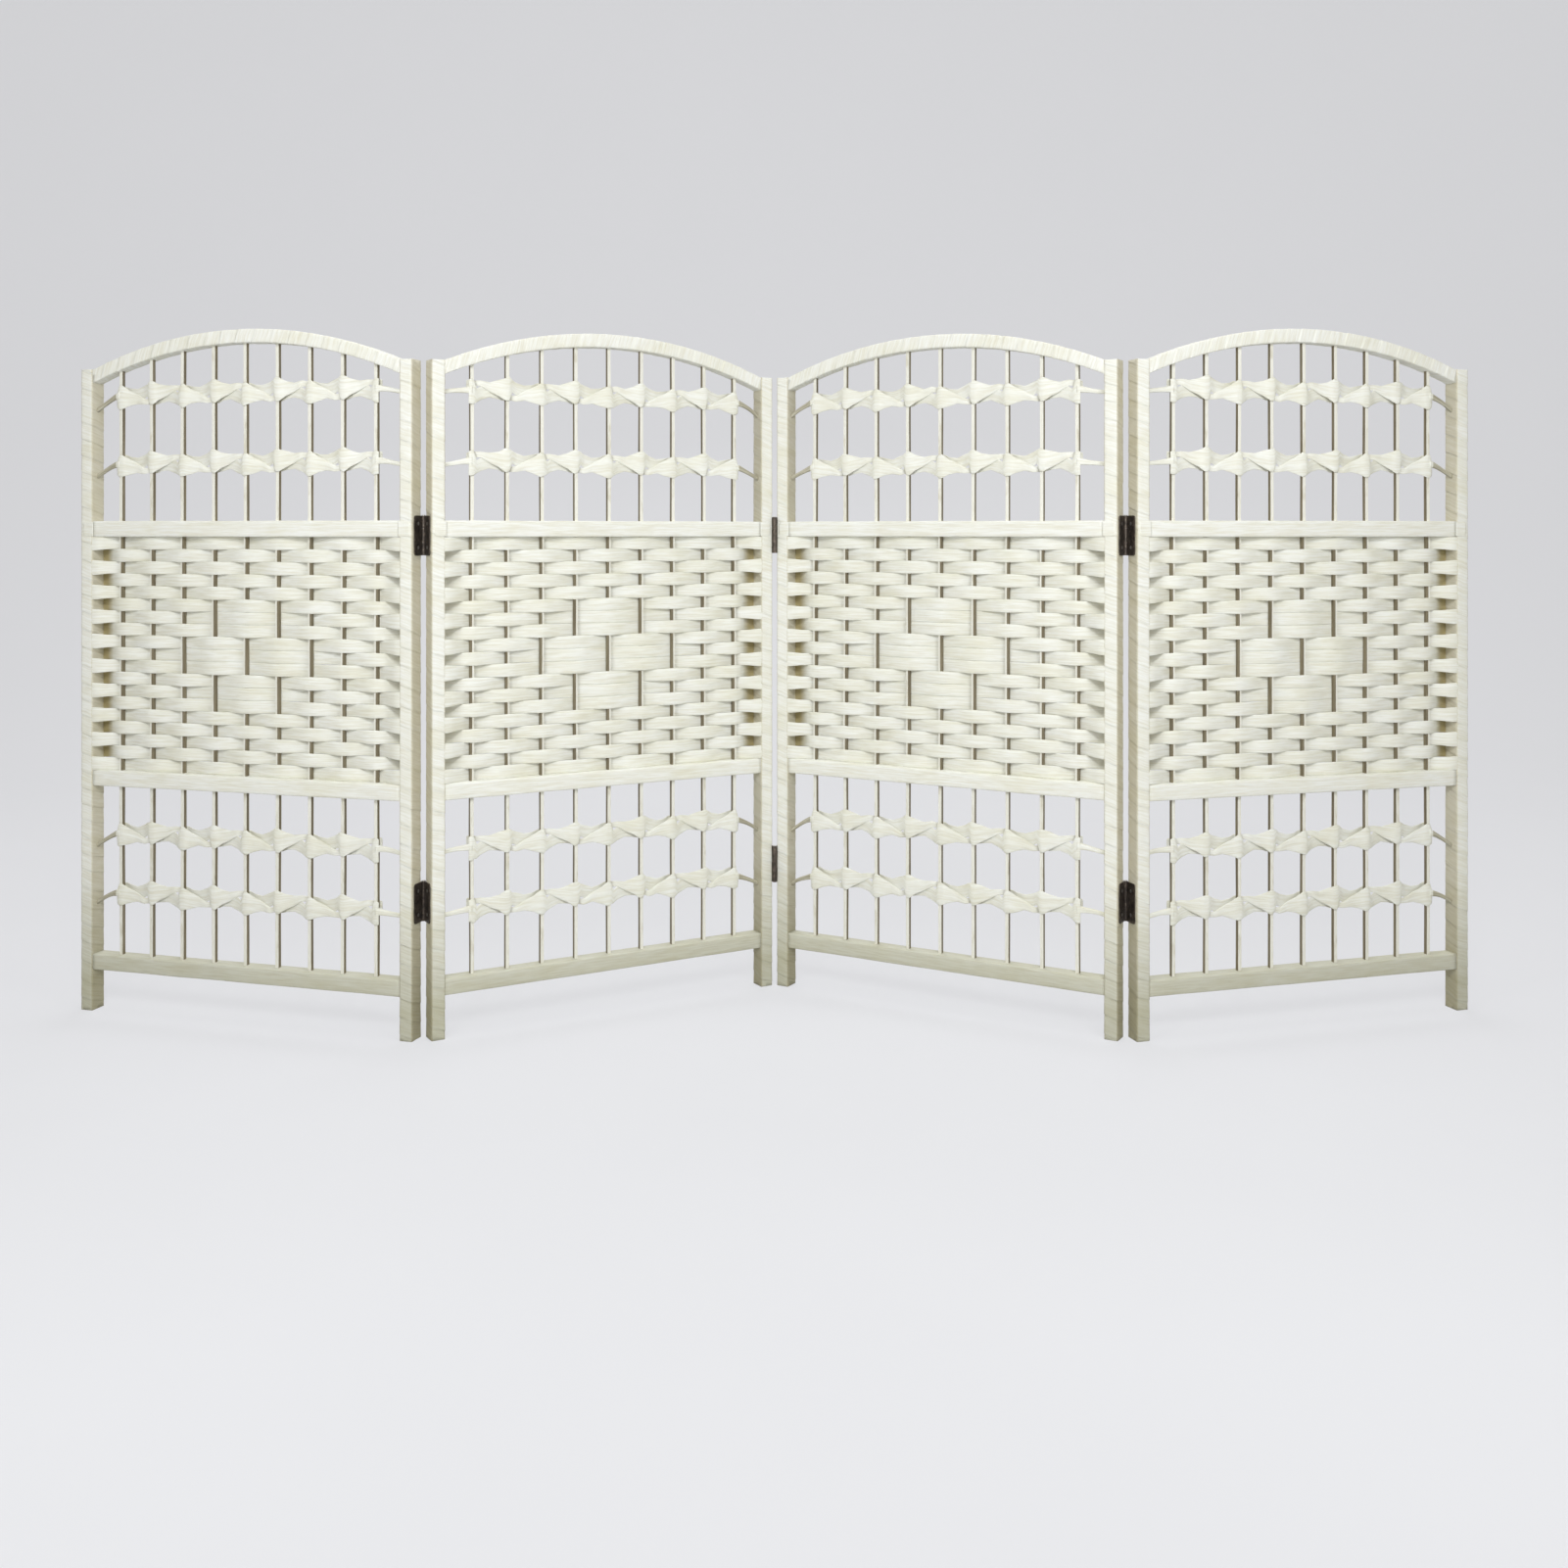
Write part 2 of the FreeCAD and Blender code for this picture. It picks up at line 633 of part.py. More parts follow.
def make_leaf(label, outer_knuckles, placement):
    """A hinge leaf, with the two outer knuckles or with the one between them."""
    body = new_body(label)
    plate = add_sketch(body, "YZ_Plane", "leaf_plate", "-half_gap")
    add_rectangle(plate, "-leaf_far", "-leaf_near", "-half_leaf_height", "half_leaf_height")
    pad(body, plate, "leaf_thickness")

    def is_outer_corner(edge):
        return edge.BoundBox.YMax < -number("screw_drop") and edge.BoundBox.XLength > edge.BoundBox.ZLength

    dress_edges(body, "Fillet", "leaf_corner", is_outer_corner)

    if outer_knuckles:
        knuckles = [("outer_knuckle_low", "half_leaf_height"), ("-half_leaf_height", "-outer_knuckle_low")]
        length = "outer_knuckle"
    else:
        knuckles = [("-half_middle_knuckle", "half_middle_knuckle")]
        length = "middle_knuckle"
    necks = add_sketch(body, "YZ_Plane", "leaf_necks", "-half_gap")
    for low, high in knuckles:
        add_rectangle(necks, "-neck_root", "0", low, high)
    pad(body, necks, "leaf_thickness")
    for low, high in knuckles:
        ring = add_sketch(body, "XY_Plane", "knuckle", low)
        add_circle(ring, "0", "0", "knuckle_radius")
        pad(body, ring, length)
    bore = add_sketch(body, "XY_Plane", "pin_bore")
    add_circle(bore, "0", "0", "bore_radius")
    pocket(body, bore, "leaf_height", symmetric=True)

    holes = add_sketch(body, "YZ_Plane", "leaf_holes", "-half_gap")
    for place in (-1, 1):
        add_circle(holes, "-screw_drop", signed(place, "screw_spread"), "screw_hole_radius")
    pocket(body, holes, "leaf_thickness", along_normal=True)
    outer_face = number("leaf_thickness") - number("half_gap")

    def is_hole_rim(edge):
        box = edge.BoundBox
        at_face = abs(box.XMin - outer_face) + abs(box.XMax - outer_face) < number("screw_clearance")
        return at_face and len(edge.Vertexes) == 1

    dress_edges(body, "Chamfer", "screw_head_height", is_hole_rim)
    finish_node(body, placement)


def make_screw(leaf_place, side):
    """A countersunk screw in a leaf, with its head flush with the leaf."""
    head = doc.addObject("Part::Cone", "screw_head")
    bind(head, Radius1="screw_head_radius", Radius2="screw_radius", Height="screw_head_height")
    shank = doc.addObject("Part::Cylinder", "screw_shank")
    bind(shank, Radius="screw_radius", Height="screw_length")
    screw = doc.addObject("Part::Fuse", "screw")
    screw.Base = head
    screw.Tool = shank
    into_stile = FreeCAD.Rotation(FreeCAD.Vector(0, 0, 1), FreeCAD.Vector(-1, 0, 0))
    seat = FreeCAD.Vector(number("leaf_thickness") - number("half_gap"), -number("screw_drop"),
                          side * number("screw_spread"))
    screw.Placement = leaf_place.multiply(FreeCAD.Placement(seat, into_stile))
    return screw


def make_pin(end, face, level):
    """A hinge pin with a flat head that rests on the upper knuckle."""
    shank = doc.addObject("Part::Cylinder", "pin_shank")
    bind(shank, Radius="pin_radius", Height="leaf_height")
    head = doc.addObject("Part::Cylinder", "pin_head")
    bind(head, Radius="pin_head_radius", Height="pin_head_height")
    head.setExpression("Placement.Base.z", formula("leaf_height"))
    pin = doc.addObject("Part::Fuse", "pin")
    pin.Base = shank
    pin.Tool = head
    foot = hinge_axis(end, face)
    foot.z = number(f"{level}_hinge_level") - number("half_leaf_height")
    pin.Placement = FreeCAD.Placement(foot, FreeCAD.Rotation())
    return pin


# The screen

panel_places = stand_panels()
hinge_faces = {}
for joint, (left_panel, right_panel, _) in JOINTS.items():
    hinge_faces[left_panel, 1] = knuckle_face(joint)
    hinge_faces[right_panel, -1] = knuckle_face(joint)

upper_bands = (
    number("spring_level") - number("arch_band_drop"),
    number("upper_rail_level") + number("rail_height") + number("upper_rail_band_rise"),
)
lower_bands = (
    number("lower_rail_level") - number("lower_rail_band_drop"),
    number("leg_length") + number("rail_height") + number("bottom_rail_band_rise"),
)
for panel in PANELS:
    here = panel_places[panel]
    make_stile(f"{panel}_left_stile", -1, hinge_faces.get((panel, -1), 0), here)
    make_stile(f"{panel}_right_stile", 1, hinge_faces.get((panel, 1), 0), here)
    make_top_rail(f"{panel}_top_rail", here)
    make_rail(f"{panel}_upper_rail", "upper_rail_level", True, here)
    make_rail(f"{panel}_lower_rail", "lower_rail_level", True, here)
    make_rail(f"{panel}_bottom_rail", "leg_length", False, here)
    make_sticks(f"{panel}_sticks", here)
    make_wefts(f"{panel}_wefts", here)
    make_lattice(f"{panel}_upper_lattice", upper_bands, here)
    make_lattice(f"{panel}_lower_lattice", lower_bands, here)

for joint, (left_panel, right_panel, _) in JOINTS.items():
    sides = {"left": (left_panel, 1), "right": (right_panel, -1)}
    for level in HINGE_LEVELS:
        for side, (panel, end) in sides.items():
            place = panel_places[panel].multiply(leaf_placement(end, knuckle_face(joint), level))
            make_leaf(f"{joint}_{level}_hinge_{side}_leaf", side == "left", place)
    pins = [make_pin(1, knuckle_face(joint), level) for level in HINGE_LEVELS]
    add_group(f"{joint}_hinge_pins", pins, panel_places[left_panel])

for panel in PANELS:
    screws = []
    for end in (-1, 1):
        if (panel, end) not in hinge_faces:
            continue
        for level in HINGE_LEVELS:
            leaf_place = leaf_placement(end, hinge_faces[panel, end], level)
            screws += [make_screw(leaf_place, side) for side in (-1, 1)]
    add_group(f"{panel}_hinge_screws", screws, panel_places[panel])

doc.recompute()


# Checks before anything is written

for thing in doc.Objects:
    if "Invalid" in thing.State or "Error" in thing.State:
        raise RuntimeError(f"{thing.Label} failed to build: {thing.State}")
    if thing.TypeId == "PartDesign::Pocket":
        if thing.Shape.Volume >= thing.BaseFeature.Shape.Volume:
            raise RuntimeError(f"{thing.Label} cuts nothing")
for node in nodes:
    if node.Shape.isNull() or not node.Shape.isValid():
        raise RuntimeError(f"{node.Label} has no valid shape")

os.makedirs("parts", exist_ok=True)
for node in nodes:
    node.Shape.exportStep(f"parts/{node.Label}.step")
for joint, (left_panel, right_panel, _) in JOINTS.items():
    axis = panel_places[left_panel].multVec(hinge_axis(1, knuckle_face(joint)))
    print(f"{joint} axis at x {axis.x:.4f} y {axis.y:.4f}")
print(f"{len(nodes)} sub-parts written")
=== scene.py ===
"""Looks of a woven folding screen: wrapped frames, a woven field, twined lattice bands and dark hinges.

The four panels are alike, so every size is measured on panel 1 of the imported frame, or is a named detail.
All pieces of a panel are made in the panel's own frame: x from its left to its right, y from its front
to its back, z up from the floor.
"""

import json
import math

import bmesh
import bpy
import numpy as np
from mathutils import Matrix, Vector


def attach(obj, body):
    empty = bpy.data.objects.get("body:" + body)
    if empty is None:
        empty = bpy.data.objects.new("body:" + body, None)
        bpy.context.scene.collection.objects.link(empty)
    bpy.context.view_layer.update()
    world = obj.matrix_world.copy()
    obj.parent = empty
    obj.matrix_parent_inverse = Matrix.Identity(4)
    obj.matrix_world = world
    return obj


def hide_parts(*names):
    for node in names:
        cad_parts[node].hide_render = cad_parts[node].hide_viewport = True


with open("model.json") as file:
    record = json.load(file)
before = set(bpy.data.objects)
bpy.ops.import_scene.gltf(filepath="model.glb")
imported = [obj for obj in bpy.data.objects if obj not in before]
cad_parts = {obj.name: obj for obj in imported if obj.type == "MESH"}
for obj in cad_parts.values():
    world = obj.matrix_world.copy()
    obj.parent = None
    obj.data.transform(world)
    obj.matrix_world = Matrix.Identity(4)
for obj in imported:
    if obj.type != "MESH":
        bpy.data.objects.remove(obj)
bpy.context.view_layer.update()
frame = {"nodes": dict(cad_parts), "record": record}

# Counts of the screen's pieces
MM = 0.001
PANELS = ("panel_1", "panel_2", "panel_3", "panel_4")
STICK_COUNT = 9
ROW_COUNT = 19

# Fineness of the meshes
RIBBON_STEP = 4 * MM
RIBBON_POINTS = 12
BAND_STEP = 1.6 * MM
RAIL_STEP = 6 * MM
STICK_RINGS = 60
STRAP_RINGS = 14
LINK_RINGS = 22
PLANE_TOLERANCE = 1e-7
RIM_TOLERANCE = 1e-6
PLACE_DIGITS = 5

# Chance: the first panel's seed, and any phase of a wave, which is about a full turn in radians
FIRST_SEED = 40
ANY_PHASE = (0, 6.3)

# Details of the windings on stiles and arches
ARCH_THICKNESS = 18 * MM
WRAP_PITCH = 24 * MM
WRAP_STEP = 0.6 * MM
WRAP_CORNER = 1.8 * MM
WRAP_WOBBLE = 0.25 * MM
WOBBLE_PACES = (21, 46)
PITCH_SPREAD = (0.82, 1.18)
STEP_SPREAD = (0.35, 1)
SPARE_TURNS = 3
SHARES_OF_TURN = (0, 0.04, 0.3, 0.6, 0.9, 0.98)
# Painted shade: the deeper tone on the side faces of the stiles
SIDE_PAINTED_SHADE = 0.5
# Painted shade: the frame paper turns greyer towards the floor
LOW_SHADE_START = 190 * MM
LOW_SHADE_END = 40 * MM
LOW_SHADE_COLOUR = (0.64, 0.63, 0.54, 1)

# Details of the paper on the rails
RAIL_TUCK = 0.6 * MM
RAIL_CORNER = 2 * MM
RAIL_INSET = 0.15 * MM
RAIL_RELIEF = 0.07 * MM
RAIL_WAVES = (1, 2, 3)
RAIL_PACES = (20, 70)
RAIL_FIBRES = (0, 50)
STRAP_THICKNESS = 1 * MM
STRAP_INSET = 4 * MM
STRAP_TUCK = 1.5 * MM
STRAP_SINK = 0.1 * MM
STRAP_MARGIN = 0.8 * MM
STRAP_ROUNDING = 3 * MM
STRAP_NARROWING = 0.28
STRAP_BLUNTNESS = 0.1

# Details of every ribbon
CREASE_DEPTH = 0.1 * MM
CREASE_WAVES = (3.1, 5.3, 8.2)
CREASE_PACES = (18, 40)
CREASE_SWAY = 1.4
EDGE_BLUNTNESS = 6
BACK_FIBRE_SHIFT = 0.05
RIBBON_FIBRES = (0, 100)

# Details of the woven ribbons
WEFT_THICKNESS = 1.2 * MM
WEFT_CLEARANCE = 0.1 * MM
WEFT_CROWN = 0.4 * MM
CROWN_FADE = 20 * MM
REACH_SPREAD = (0.97, 1.06)
WEFT_OVERLAP = 0.6 * MM
OVERLAP_SPREAD = (0.75, 1.25)
WEFT_LAP = 8 * MM
LAP_DEPTH = 1.1 * MM
LAP_END = 0.97
LAP_SPREAD = 1.8 * MM
LAP_FADE = 26 * MM
# Painted shade where even rows turn behind the far stile, and the colour of all painted shade on paper
PAINTED_SHADE_START = 22 * MM
PAINTED_SHADE_END = 9 * MM
PAINTED_SHADE_COLOUR = (0.52, 0.44, 0.26, 1)
ROW_GAP = 0.04 * MM

# First and last stick where a row steps the other way, to draw the diamond
DIAMOND_ROWS = {7: (4, 6), 10: (3, 7), 13: (4, 6)}
NO_STICKS = (1, 0)

# Details of the sticks
STICK_CORNER = 0.5 * MM
STICK_TUCK = 4 * MM
STICK_BOW = 0.2 * MM
BOW_PACES = (8, 20)
GIRTH_CHANGE = 0.03
GIRTH_PACES = (20, 60)

# Details of the lattice bands
BAND_HALF = 15 * MM
BAND_THICKNESS = 1.1 * MM
BAND_CROWN = 0.8 * MM
BAND_SPREAD = (0.94, 1.08)
FAR_LINK_DROPS = (15 * MM, 19 * MM)
NEAR_LINK_DROP = 5 * MM
LINK_HALF_AT_STILE = 2.72 * MM
LINK_HALF_AT_STICK = 5.1 * MM
LINK_THICKNESS = 5 * MM
LINK_TUCK = 0.5 * MM
LINK_BEND = 1.5
LINK_WAVER = 0.5 * MM
LINK_WAVER_PACE = 5

# One ribbon of a band over two stick spaces, about a stick that it covers: the share of a stick space,
# then its depth, its lower and its upper edge in millimetres
TWINE_STEPS = (
    (-0.50, 1.0, -8.5, 5.0),
    (-0.25, -0.8, -12.5, 5.0),
    (-0.13, -2.6, -15.0, 1.5),
    (-0.05, -3.9, -17.5, 12.0),
    (0.06, -4.2, -17.5, 13.0),
    (0.25, -2.6, -14.0, 7.0),
    (0.50, -1.2, -11.0, 1.5),
    (0.75, -0.9, -12.5, -5.0),
    (0.87, 0.8, -12.0, -5.0),
    (1.00, 4.2, -12.5, -4.0),
    (1.08, 4.2, -12.0, -2.0),
    (1.25, 2.4, -10.0, 2.0),
)


# Measures

def panel_matrix(panel):
    """Where a panel stands, from the places of its two feet."""
    feet = {mount["name"]: Vector(mount["pos_m"]) for mount in frame["record"]["mounts"]}
    left = feet[panel + "_left_foot"]
    right = feet[panel + "_right_foot"]
    along = (right - left).normalized()
    up = Vector((0, 0, 1))
    turn = Matrix((along, up.cross(along), up)).transposed().to_4x4()
    return Matrix.Translation((left + right) / 2) @ turn


def local_points(node):
    """Corners of a part of panel 1, in that panel's frame."""
    to_panel = panel_matrix("panel_1").inverted()
    vertices = frame["nodes"]["panel_1_" + node].data.vertices
    return np.array([to_panel @ vertex.co for vertex in vertices])


def local_box(node):
    """Lowest and highest corner of a part of panel 1, in that panel's frame."""
    points = local_points(node)
    return points.min(axis=0), points.max(axis=0)


stile_low, stile_high = local_box("left_stile")
HALF_WIDTH = -stile_low[0]
HALF_OPENING = -stile_high[0]
HALF_DEPTH = stile_high[1]
STILE_TOP = stile_high[2]
RAIL_NAMES = ("upper_rail", "lower_rail", "bottom_rail")
RAIL_BOXES = {name: local_box(name) for name in RAIL_NAMES}

stick_low, stick_high = local_box("sticks")
stick_sides = np.unique(np.round(local_points("sticks")[:, 0], PLACE_DIGITS))
STICK_FOOT = stick_low[2]
STICK_HALF_WIDTH = (stick_sides[1] - stick_sides[0]) / 2
STICK_HALF_DEPTH = stick_high[1]
STICK_PLACES = (stick_sides[0::2] + stick_sides[1::2]) / 2
STICK_PITCH = STICK_PLACES[1] - STICK_PLACES[0]

WEAVE_TOP = RAIL_BOXES["upper_rail"][0][2]
WEAVE_FOOT = RAIL_BOXES["lower_rail"][1][2]
ROW_PITCH = (WEAVE_TOP - WEAVE_FOOT) / ROW_COUNT
WEFT_REACH = STICK_HALF_DEPTH + WEFT_THICKNESS / 2 + WEFT_CLEARANCE
BAND_END = STICK_PLACES[-1] + 2 * STICK_HALF_WIDTH
LINK_START = STICK_PLACES[-1] + 2.2 * STICK_HALF_WIDTH

ARCH_CREST = local_box("top_rail")[1][2] - ARCH_THICKNESS
ARCH_SPRING = STILE_TOP - ARCH_THICKNESS
ARCH_RISE = ARCH_CREST - ARCH_SPRING
ARCH_RADIUS = (HALF_OPENING ** 2 + ARCH_RISE ** 2) / (2 * ARCH_RISE)


def arch_underside(x):
    """Level of the arch's underside at a place along the panel."""
    return ARCH_CREST - ARCH_RADIUS + np.sqrt(ARCH_RADIUS ** 2 - np.square(x))


def rail_level(name):
    """Level of the middle of a rail."""
    low, high = RAIL_BOXES[name]
    return (low[2] + high[2]) / 2


# Meshes

def new_mesh(name, vertices, faces, fibre):
    """A mesh whose points know their place along and across the paper's fibres."""
    mesh = bpy.data.meshes.new(name)
    mesh.from_pydata(np.asarray(vertices).tolist(), [], faces)
    layer = mesh.attributes.new("fibre", "FLOAT_VECTOR", "POINT")
    layer.data.foreach_set("vector", np.asarray(fibre, np.float32).ravel())
    mesh.shade_smooth()
    return mesh


def add_painted_shade(mesh, amounts):
    """Tells each point of a mesh how much painted shade its paper takes."""
    layer = mesh.attributes.new("painted_shade", "FLOAT", "POINT")
    layer.data.foreach_set("value", np.asarray(amounts, np.float32))


def join_lofts(name, lofts):
    """One mesh from several (vertices, faces, fibre)."""
    vertices, faces, fibres = [], [], []
    count = 0
    for points, corners, fibre in lofts:
        vertices.append(points)
        fibres.append(fibre)
        faces.extend(tuple(index + count for index in face) for face in corners)
        count += len(points)
    return new_mesh(name, np.concatenate(vertices), faces, np.concatenate(fibres))


def loft(rings, fibre):
    """A closed skin over rings of points. Seen from the far end, each ring runs clockwise."""
    count, size = rings.shape[:2]
    faces = []
    for ring in range(count - 1):
        here = ring * size
        there = here + size
        for point in range(size):
            following = (point + 1) % size
            faces.append((here + point, there + point, there + following, here + following))
    faces.append(tuple(range(size)))
    faces.append(tuple(reversed(range((count - 1) * size, count * size))))
    return rings.reshape(-1, 3), faces, fibre.reshape(-1, 3)


def curve_through(places, values, x):
    """A smooth curve through the given values, read at each x."""
    places = np.asarray(places, float)
    values = np.asarray(values, float)
    slopes = np.gradient(values, places)
    index = np.clip(np.searchsorted(places, x, side="right") - 1, 0, len(places) - 2)
    span = places[index + 1] - places[index]
    t = np.clip((x - places[index]) / span, 0, 1)
    from_left = (1 + 2 * t) * (1 - t) ** 2 * values[index] + t * (1 - t) ** 2 * span * slopes[index]
    from_right = t * t * (3 - 2 * t) * values[index + 1] + t * t * (t - 1) * span * slopes[index + 1]
    return from_left + from_right


def rounded_section(half_a, half_b, radius, corner_steps=3, side_steps=4):
    """Clockwise points of a rectangle with round corners, with the outward direction at each."""
    points, normals = [], []
    centres = np.array(((1, 1), (1, -1), (-1, -1), (-1, 1))) * (half_a - radius, half_b - radius)
    for corner, centre in enumerate(centres):
        for step in range(corner_steps + 1):
            angle = math.radians(90 - 90 * corner - 90 * step / corner_steps)
            normals.append(np.array((math.cos(angle), math.sin(angle))))
            points.append(centre + radius * normals[-1])
        near_point = points[-1]
        far_point = centres[(corner + 1) % len(centres)] + radius * normals[-1]
        for step in range(1, side_steps):
            points.append(near_point + (far_point - near_point) * step / side_steps)
            normals.append(normals[-1])
    return np.array(points), np.array(normals)


def way_round(points):
    """Distance of each point of a closed section along its outline, and the whole way round."""
    steps = np.linalg.norm(np.roll(points, -1, axis=0) - points, axis=1)
    return np.concatenate(([0], np.cumsum(steps)[:-1])), steps.sum()


def winding_faces(rows, size):
    """Faces of a winding, where each row of points goes on in the same row of the next turn."""
    faces = []
    for row in range(rows - 1):
        for point in range(size - 1):
            here = row * size + point
            faces.append((here, here + size, here + size + 1, here + 1))
        next_row = row + len(SHARES_OF_TURN)
        if next_row + 1 < rows:
            last = row * size + size - 1
            faces.append((last, last + size, (next_row + 1) * size, next_row * size))
    return faces


def wound_bar(length, half_a, half_b, rng):
    """A bar wrapped in ribbon, along its third axis from 0 to length: (vertices, faces, fibre).

    Each turn laps over the one below, so its lower edge stands proud and the turn slopes away above it.
    Nothing stands further out than the bar's own outline. Spare turns run past both ends, to be cut off.
    """
    points, normals = rounded_section(half_a, half_b, WRAP_CORNER)
    distance, perimeter = way_round(points)
    turns = int(length / WRAP_PITCH) + 2 * SPARE_TURNS
    marks = np.arange(turns + 2)
    levels = np.cumsum(WRAP_PITCH * rng.uniform(*PITCH_SPREAD, len(marks))) - SPARE_TURNS * WRAP_PITCH
    depths = WRAP_STEP * rng.uniform(*STEP_SPREAD, len(marks))
    phases = rng.uniform(0, 2 * math.pi, len(WOBBLE_PACES))
    vertices, fibres = [], []
    for turn in range(turns):
        place = turn + distance / perimeter
        waves = [np.sin(place * pace + phase) for pace, phase in zip(WOBBLE_PACES, phases)]
        low = np.interp(place, marks, levels) + WRAP_WOBBLE * sum(waves)
        high = np.interp(place + 1, marks, levels)
        depth = np.interp(place, marks, depths)
        for share in SHARES_OF_TURN:
            level = low + (high - low) * share
            inset = depth * share
            ring = points - normals * inset[:, None]
            vertices.append(np.column_stack((ring, level)))
            fibres.append(np.column_stack((place * perimeter, share * (high - low), np.floor(place))))
    faces = winding_faces(len(vertices), len(points))
    return np.concatenate(vertices), faces, np.concatenate(fibres)


def cut_ends(mesh, length):
    """Cuts a wound bar square at both ends and closes them."""
    work = bmesh.new()
    work.from_mesh(mesh)
    for level, direction in ((0, -1), (length, 1)):
        bmesh.ops.bisect_plane(
            work,
            geom=work.verts[:] + work.edges[:] + work.faces[:],
            dist=PLANE_TOLERANCE,
            plane_co=(0, 0, level),
            plane_no=(0, 0, direction),
            clear_outer=True,
        )
        open_edges = [edge for edge in work.edges if edge.is_boundary]
        rim = [edge for edge in open_edges if abs(edge.verts[0].co.z - level) < RIM_TOLERANCE]
        filled = bmesh.ops.edgeloop_fill(work, edges=rim)
        for face in filled["faces"]:
            face.smooth = False
    loose = [vertex for vertex in work.verts if not vertex.link_faces]
    bmesh.ops.delete(work, geom=loose, context="VERTS")
    bmesh.ops.recalc_face_normals(work, faces=work.faces)
    work.to_mesh(mesh)
    work.free()


def ribbon(x, y, bottom, top, crown, thickness, rng):
    """A paper ribbon along x, bulged by crown and softly creased.

    Its middle is at y, and its edges are at bottom and top.
    """
    rise = -np.cos(np.linspace(0, math.pi, RIBBON_POINTS))
    half = thickness / 2 * np.sqrt(1 - rise ** EDGE_BLUNTNESS)
    middle = ((top + bottom) / 2)[:, None]
    reach = ((top - bottom) / 2)[:, None]
    z = middle + reach * rise
    creases = np.zeros_like(z)
    for wave in CREASE_WAVES:
        phase = rng.uniform(*ANY_PHASE)
        drift = rng.uniform(*ANY_PHASE)
        pace = rng.uniform(*CREASE_PACES)
        sway = CREASE_SWAY * np.sin(pace * x + drift)
        creases += CREASE_DEPTH * np.sin(wave * rise + phase + sway[:, None])
    sheet = y[:, None] + crown[:, None] * (1 - rise ** 2) + creases * (1 - rise ** 2)
    x_points = np.broadcast_to(x[:, None], z.shape)
    front = np.stack((x_points, sheet - half, z), axis=2)
    back = np.stack((x_points, sheet + half, z), axis=2)
    rings = np.concatenate((front, back[:, -2:0:-1]), axis=1)
    along = np.concatenate(([0], np.cumsum(np.hypot(np.diff(x), np.diff(y)))))
    across = np.concatenate((reach * rise, (reach * rise)[:, -2:0:-1] + BACK_FIBRE_SHIFT), axis=1)
    length = np.broadcast_to(along[:, None], across.shape)
    number = np.full(across.shape, rng.uniform(*RIBBON_FIBRES))
    return loft(rings, np.stack((length, across, number), axis=2))


def place_piece(name, mesh, panel, material, nodes):
    """A piece in a panel's frame, which rides with the panel and stands for the CAD nodes."""
    piece = bpy.data.objects.new(f"{panel}_{name}", mesh)
    bpy.context.scene.collection.objects.link(piece)
    piece.matrix_world = panel_matrix(panel)
    mesh.materials.append(material)
    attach(piece, panel)
    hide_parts(*(f"{panel}_{node}" for node in nodes))


# Materials

WHITE = (1, 1, 1)
BLACK = (0, 0, 0)


def new_material(name):
    """A material with its node tree and its shader."""
    material = bpy.data.materials.new(name)
    material.use_nodes = True
    return material, material.node_tree, material.node_tree.nodes["Principled BSDF"]


def object_place(tree):
    """Where a point lies in its object's own frame."""
    return tree.nodes.new("ShaderNodeTexCoord").outputs["Object"]


def point_value(tree, name, output):
    """What a mesh says about its points under the given name."""
    node = tree.nodes.new("ShaderNodeAttribute")
    node.attribute_name = name
    return node.outputs[output]


def scaled_noise(tree, source, scale, detail):
    """Noise over coordinates that are stretched by scale."""
    stretch = tree.nodes.new("ShaderNodeVectorMath")
    stretch.operation = "MULTIPLY"
    stretch.inputs[1].default_value = scale
    tree.links.new(source, stretch.inputs[0])
    noise = tree.nodes.new("ShaderNodeTexNoise")
    noise.inputs["Scale"].default_value = 1
    noise.inputs["Detail"].default_value = detail
    tree.links.new(stretch.outputs[0], noise.inputs["Vector"])
    return noise.outputs["Fac"]


def ramp(tree, source, stops):
    """Colours along a value from 0 to 1."""
    node = tree.nodes.new("ShaderNodeValToRGB")
    while len(node.color_ramp.elements) < len(stops):
        node.color_ramp.elements.new(0.5)
    for element, (position, colour) in zip(node.color_ramp.elements, stops):
        element.position = position
        element.color = (*colour, 1)
    tree.links.new(source, node.inputs["Fac"])
    return node.outputs["Color"]


def colour_mix(tree, mode):
    """A node that mixes two colours in the given way."""
    node = tree.nodes.new("ShaderNodeMix")
    node.data_type = "RGBA"
    node.blend_type = mode
    return node


def blend_colours(tree, mode, first, second, amount):
    """Two colours mixed in the given way, everywhere by the same amount."""
    node = colour_mix(tree, mode)
    node.inputs["Factor"].default_value = amount
    tree.links.new(first, node.inputs["A"])
    tree.links.new(second, node.inputs["B"])
    return node.outputs["Result"]


def deepened(tree, colour, amount, tone):
    """A colour that takes on a deeper tone where the amount is high."""
    node = colour_mix(tree, "MULTIPLY")
    node.inputs["B"].default_value = tone
    tree.links.new(amount, node.inputs["Factor"])
    tree.links.new(colour, node.inputs["A"])
    return node.outputs["Result"]


def near_floor(tree, place):
    """0 high up on a panel, rising to 1 near the floor."""
    axes = tree.nodes.new("ShaderNodeSeparateXYZ")
    tree.links.new(place, axes.inputs["Vector"])
    node = tree.nodes.new("ShaderNodeMapRange")
    node.inputs["From Min"].default_value = LOW_SHADE_START
    node.inputs["From Max"].default_value = LOW_SHADE_END
    tree.links.new(axes.outputs["Z"], node.inputs["Value"])
    return node.outputs["Result"]


def add_roughness(tree, shader, source, low, high):
    """Roughness between low and high, from a value between 0 and 1."""
    node = tree.nodes.new("ShaderNodeMapRange")
    node.inputs["To Min"].default_value = low
    node.inputs["To Max"].default_value = high
    tree.links.new(source, node.inputs["Value"])
    tree.links.new(node.outputs["Result"], shader.inputs["Roughness"])


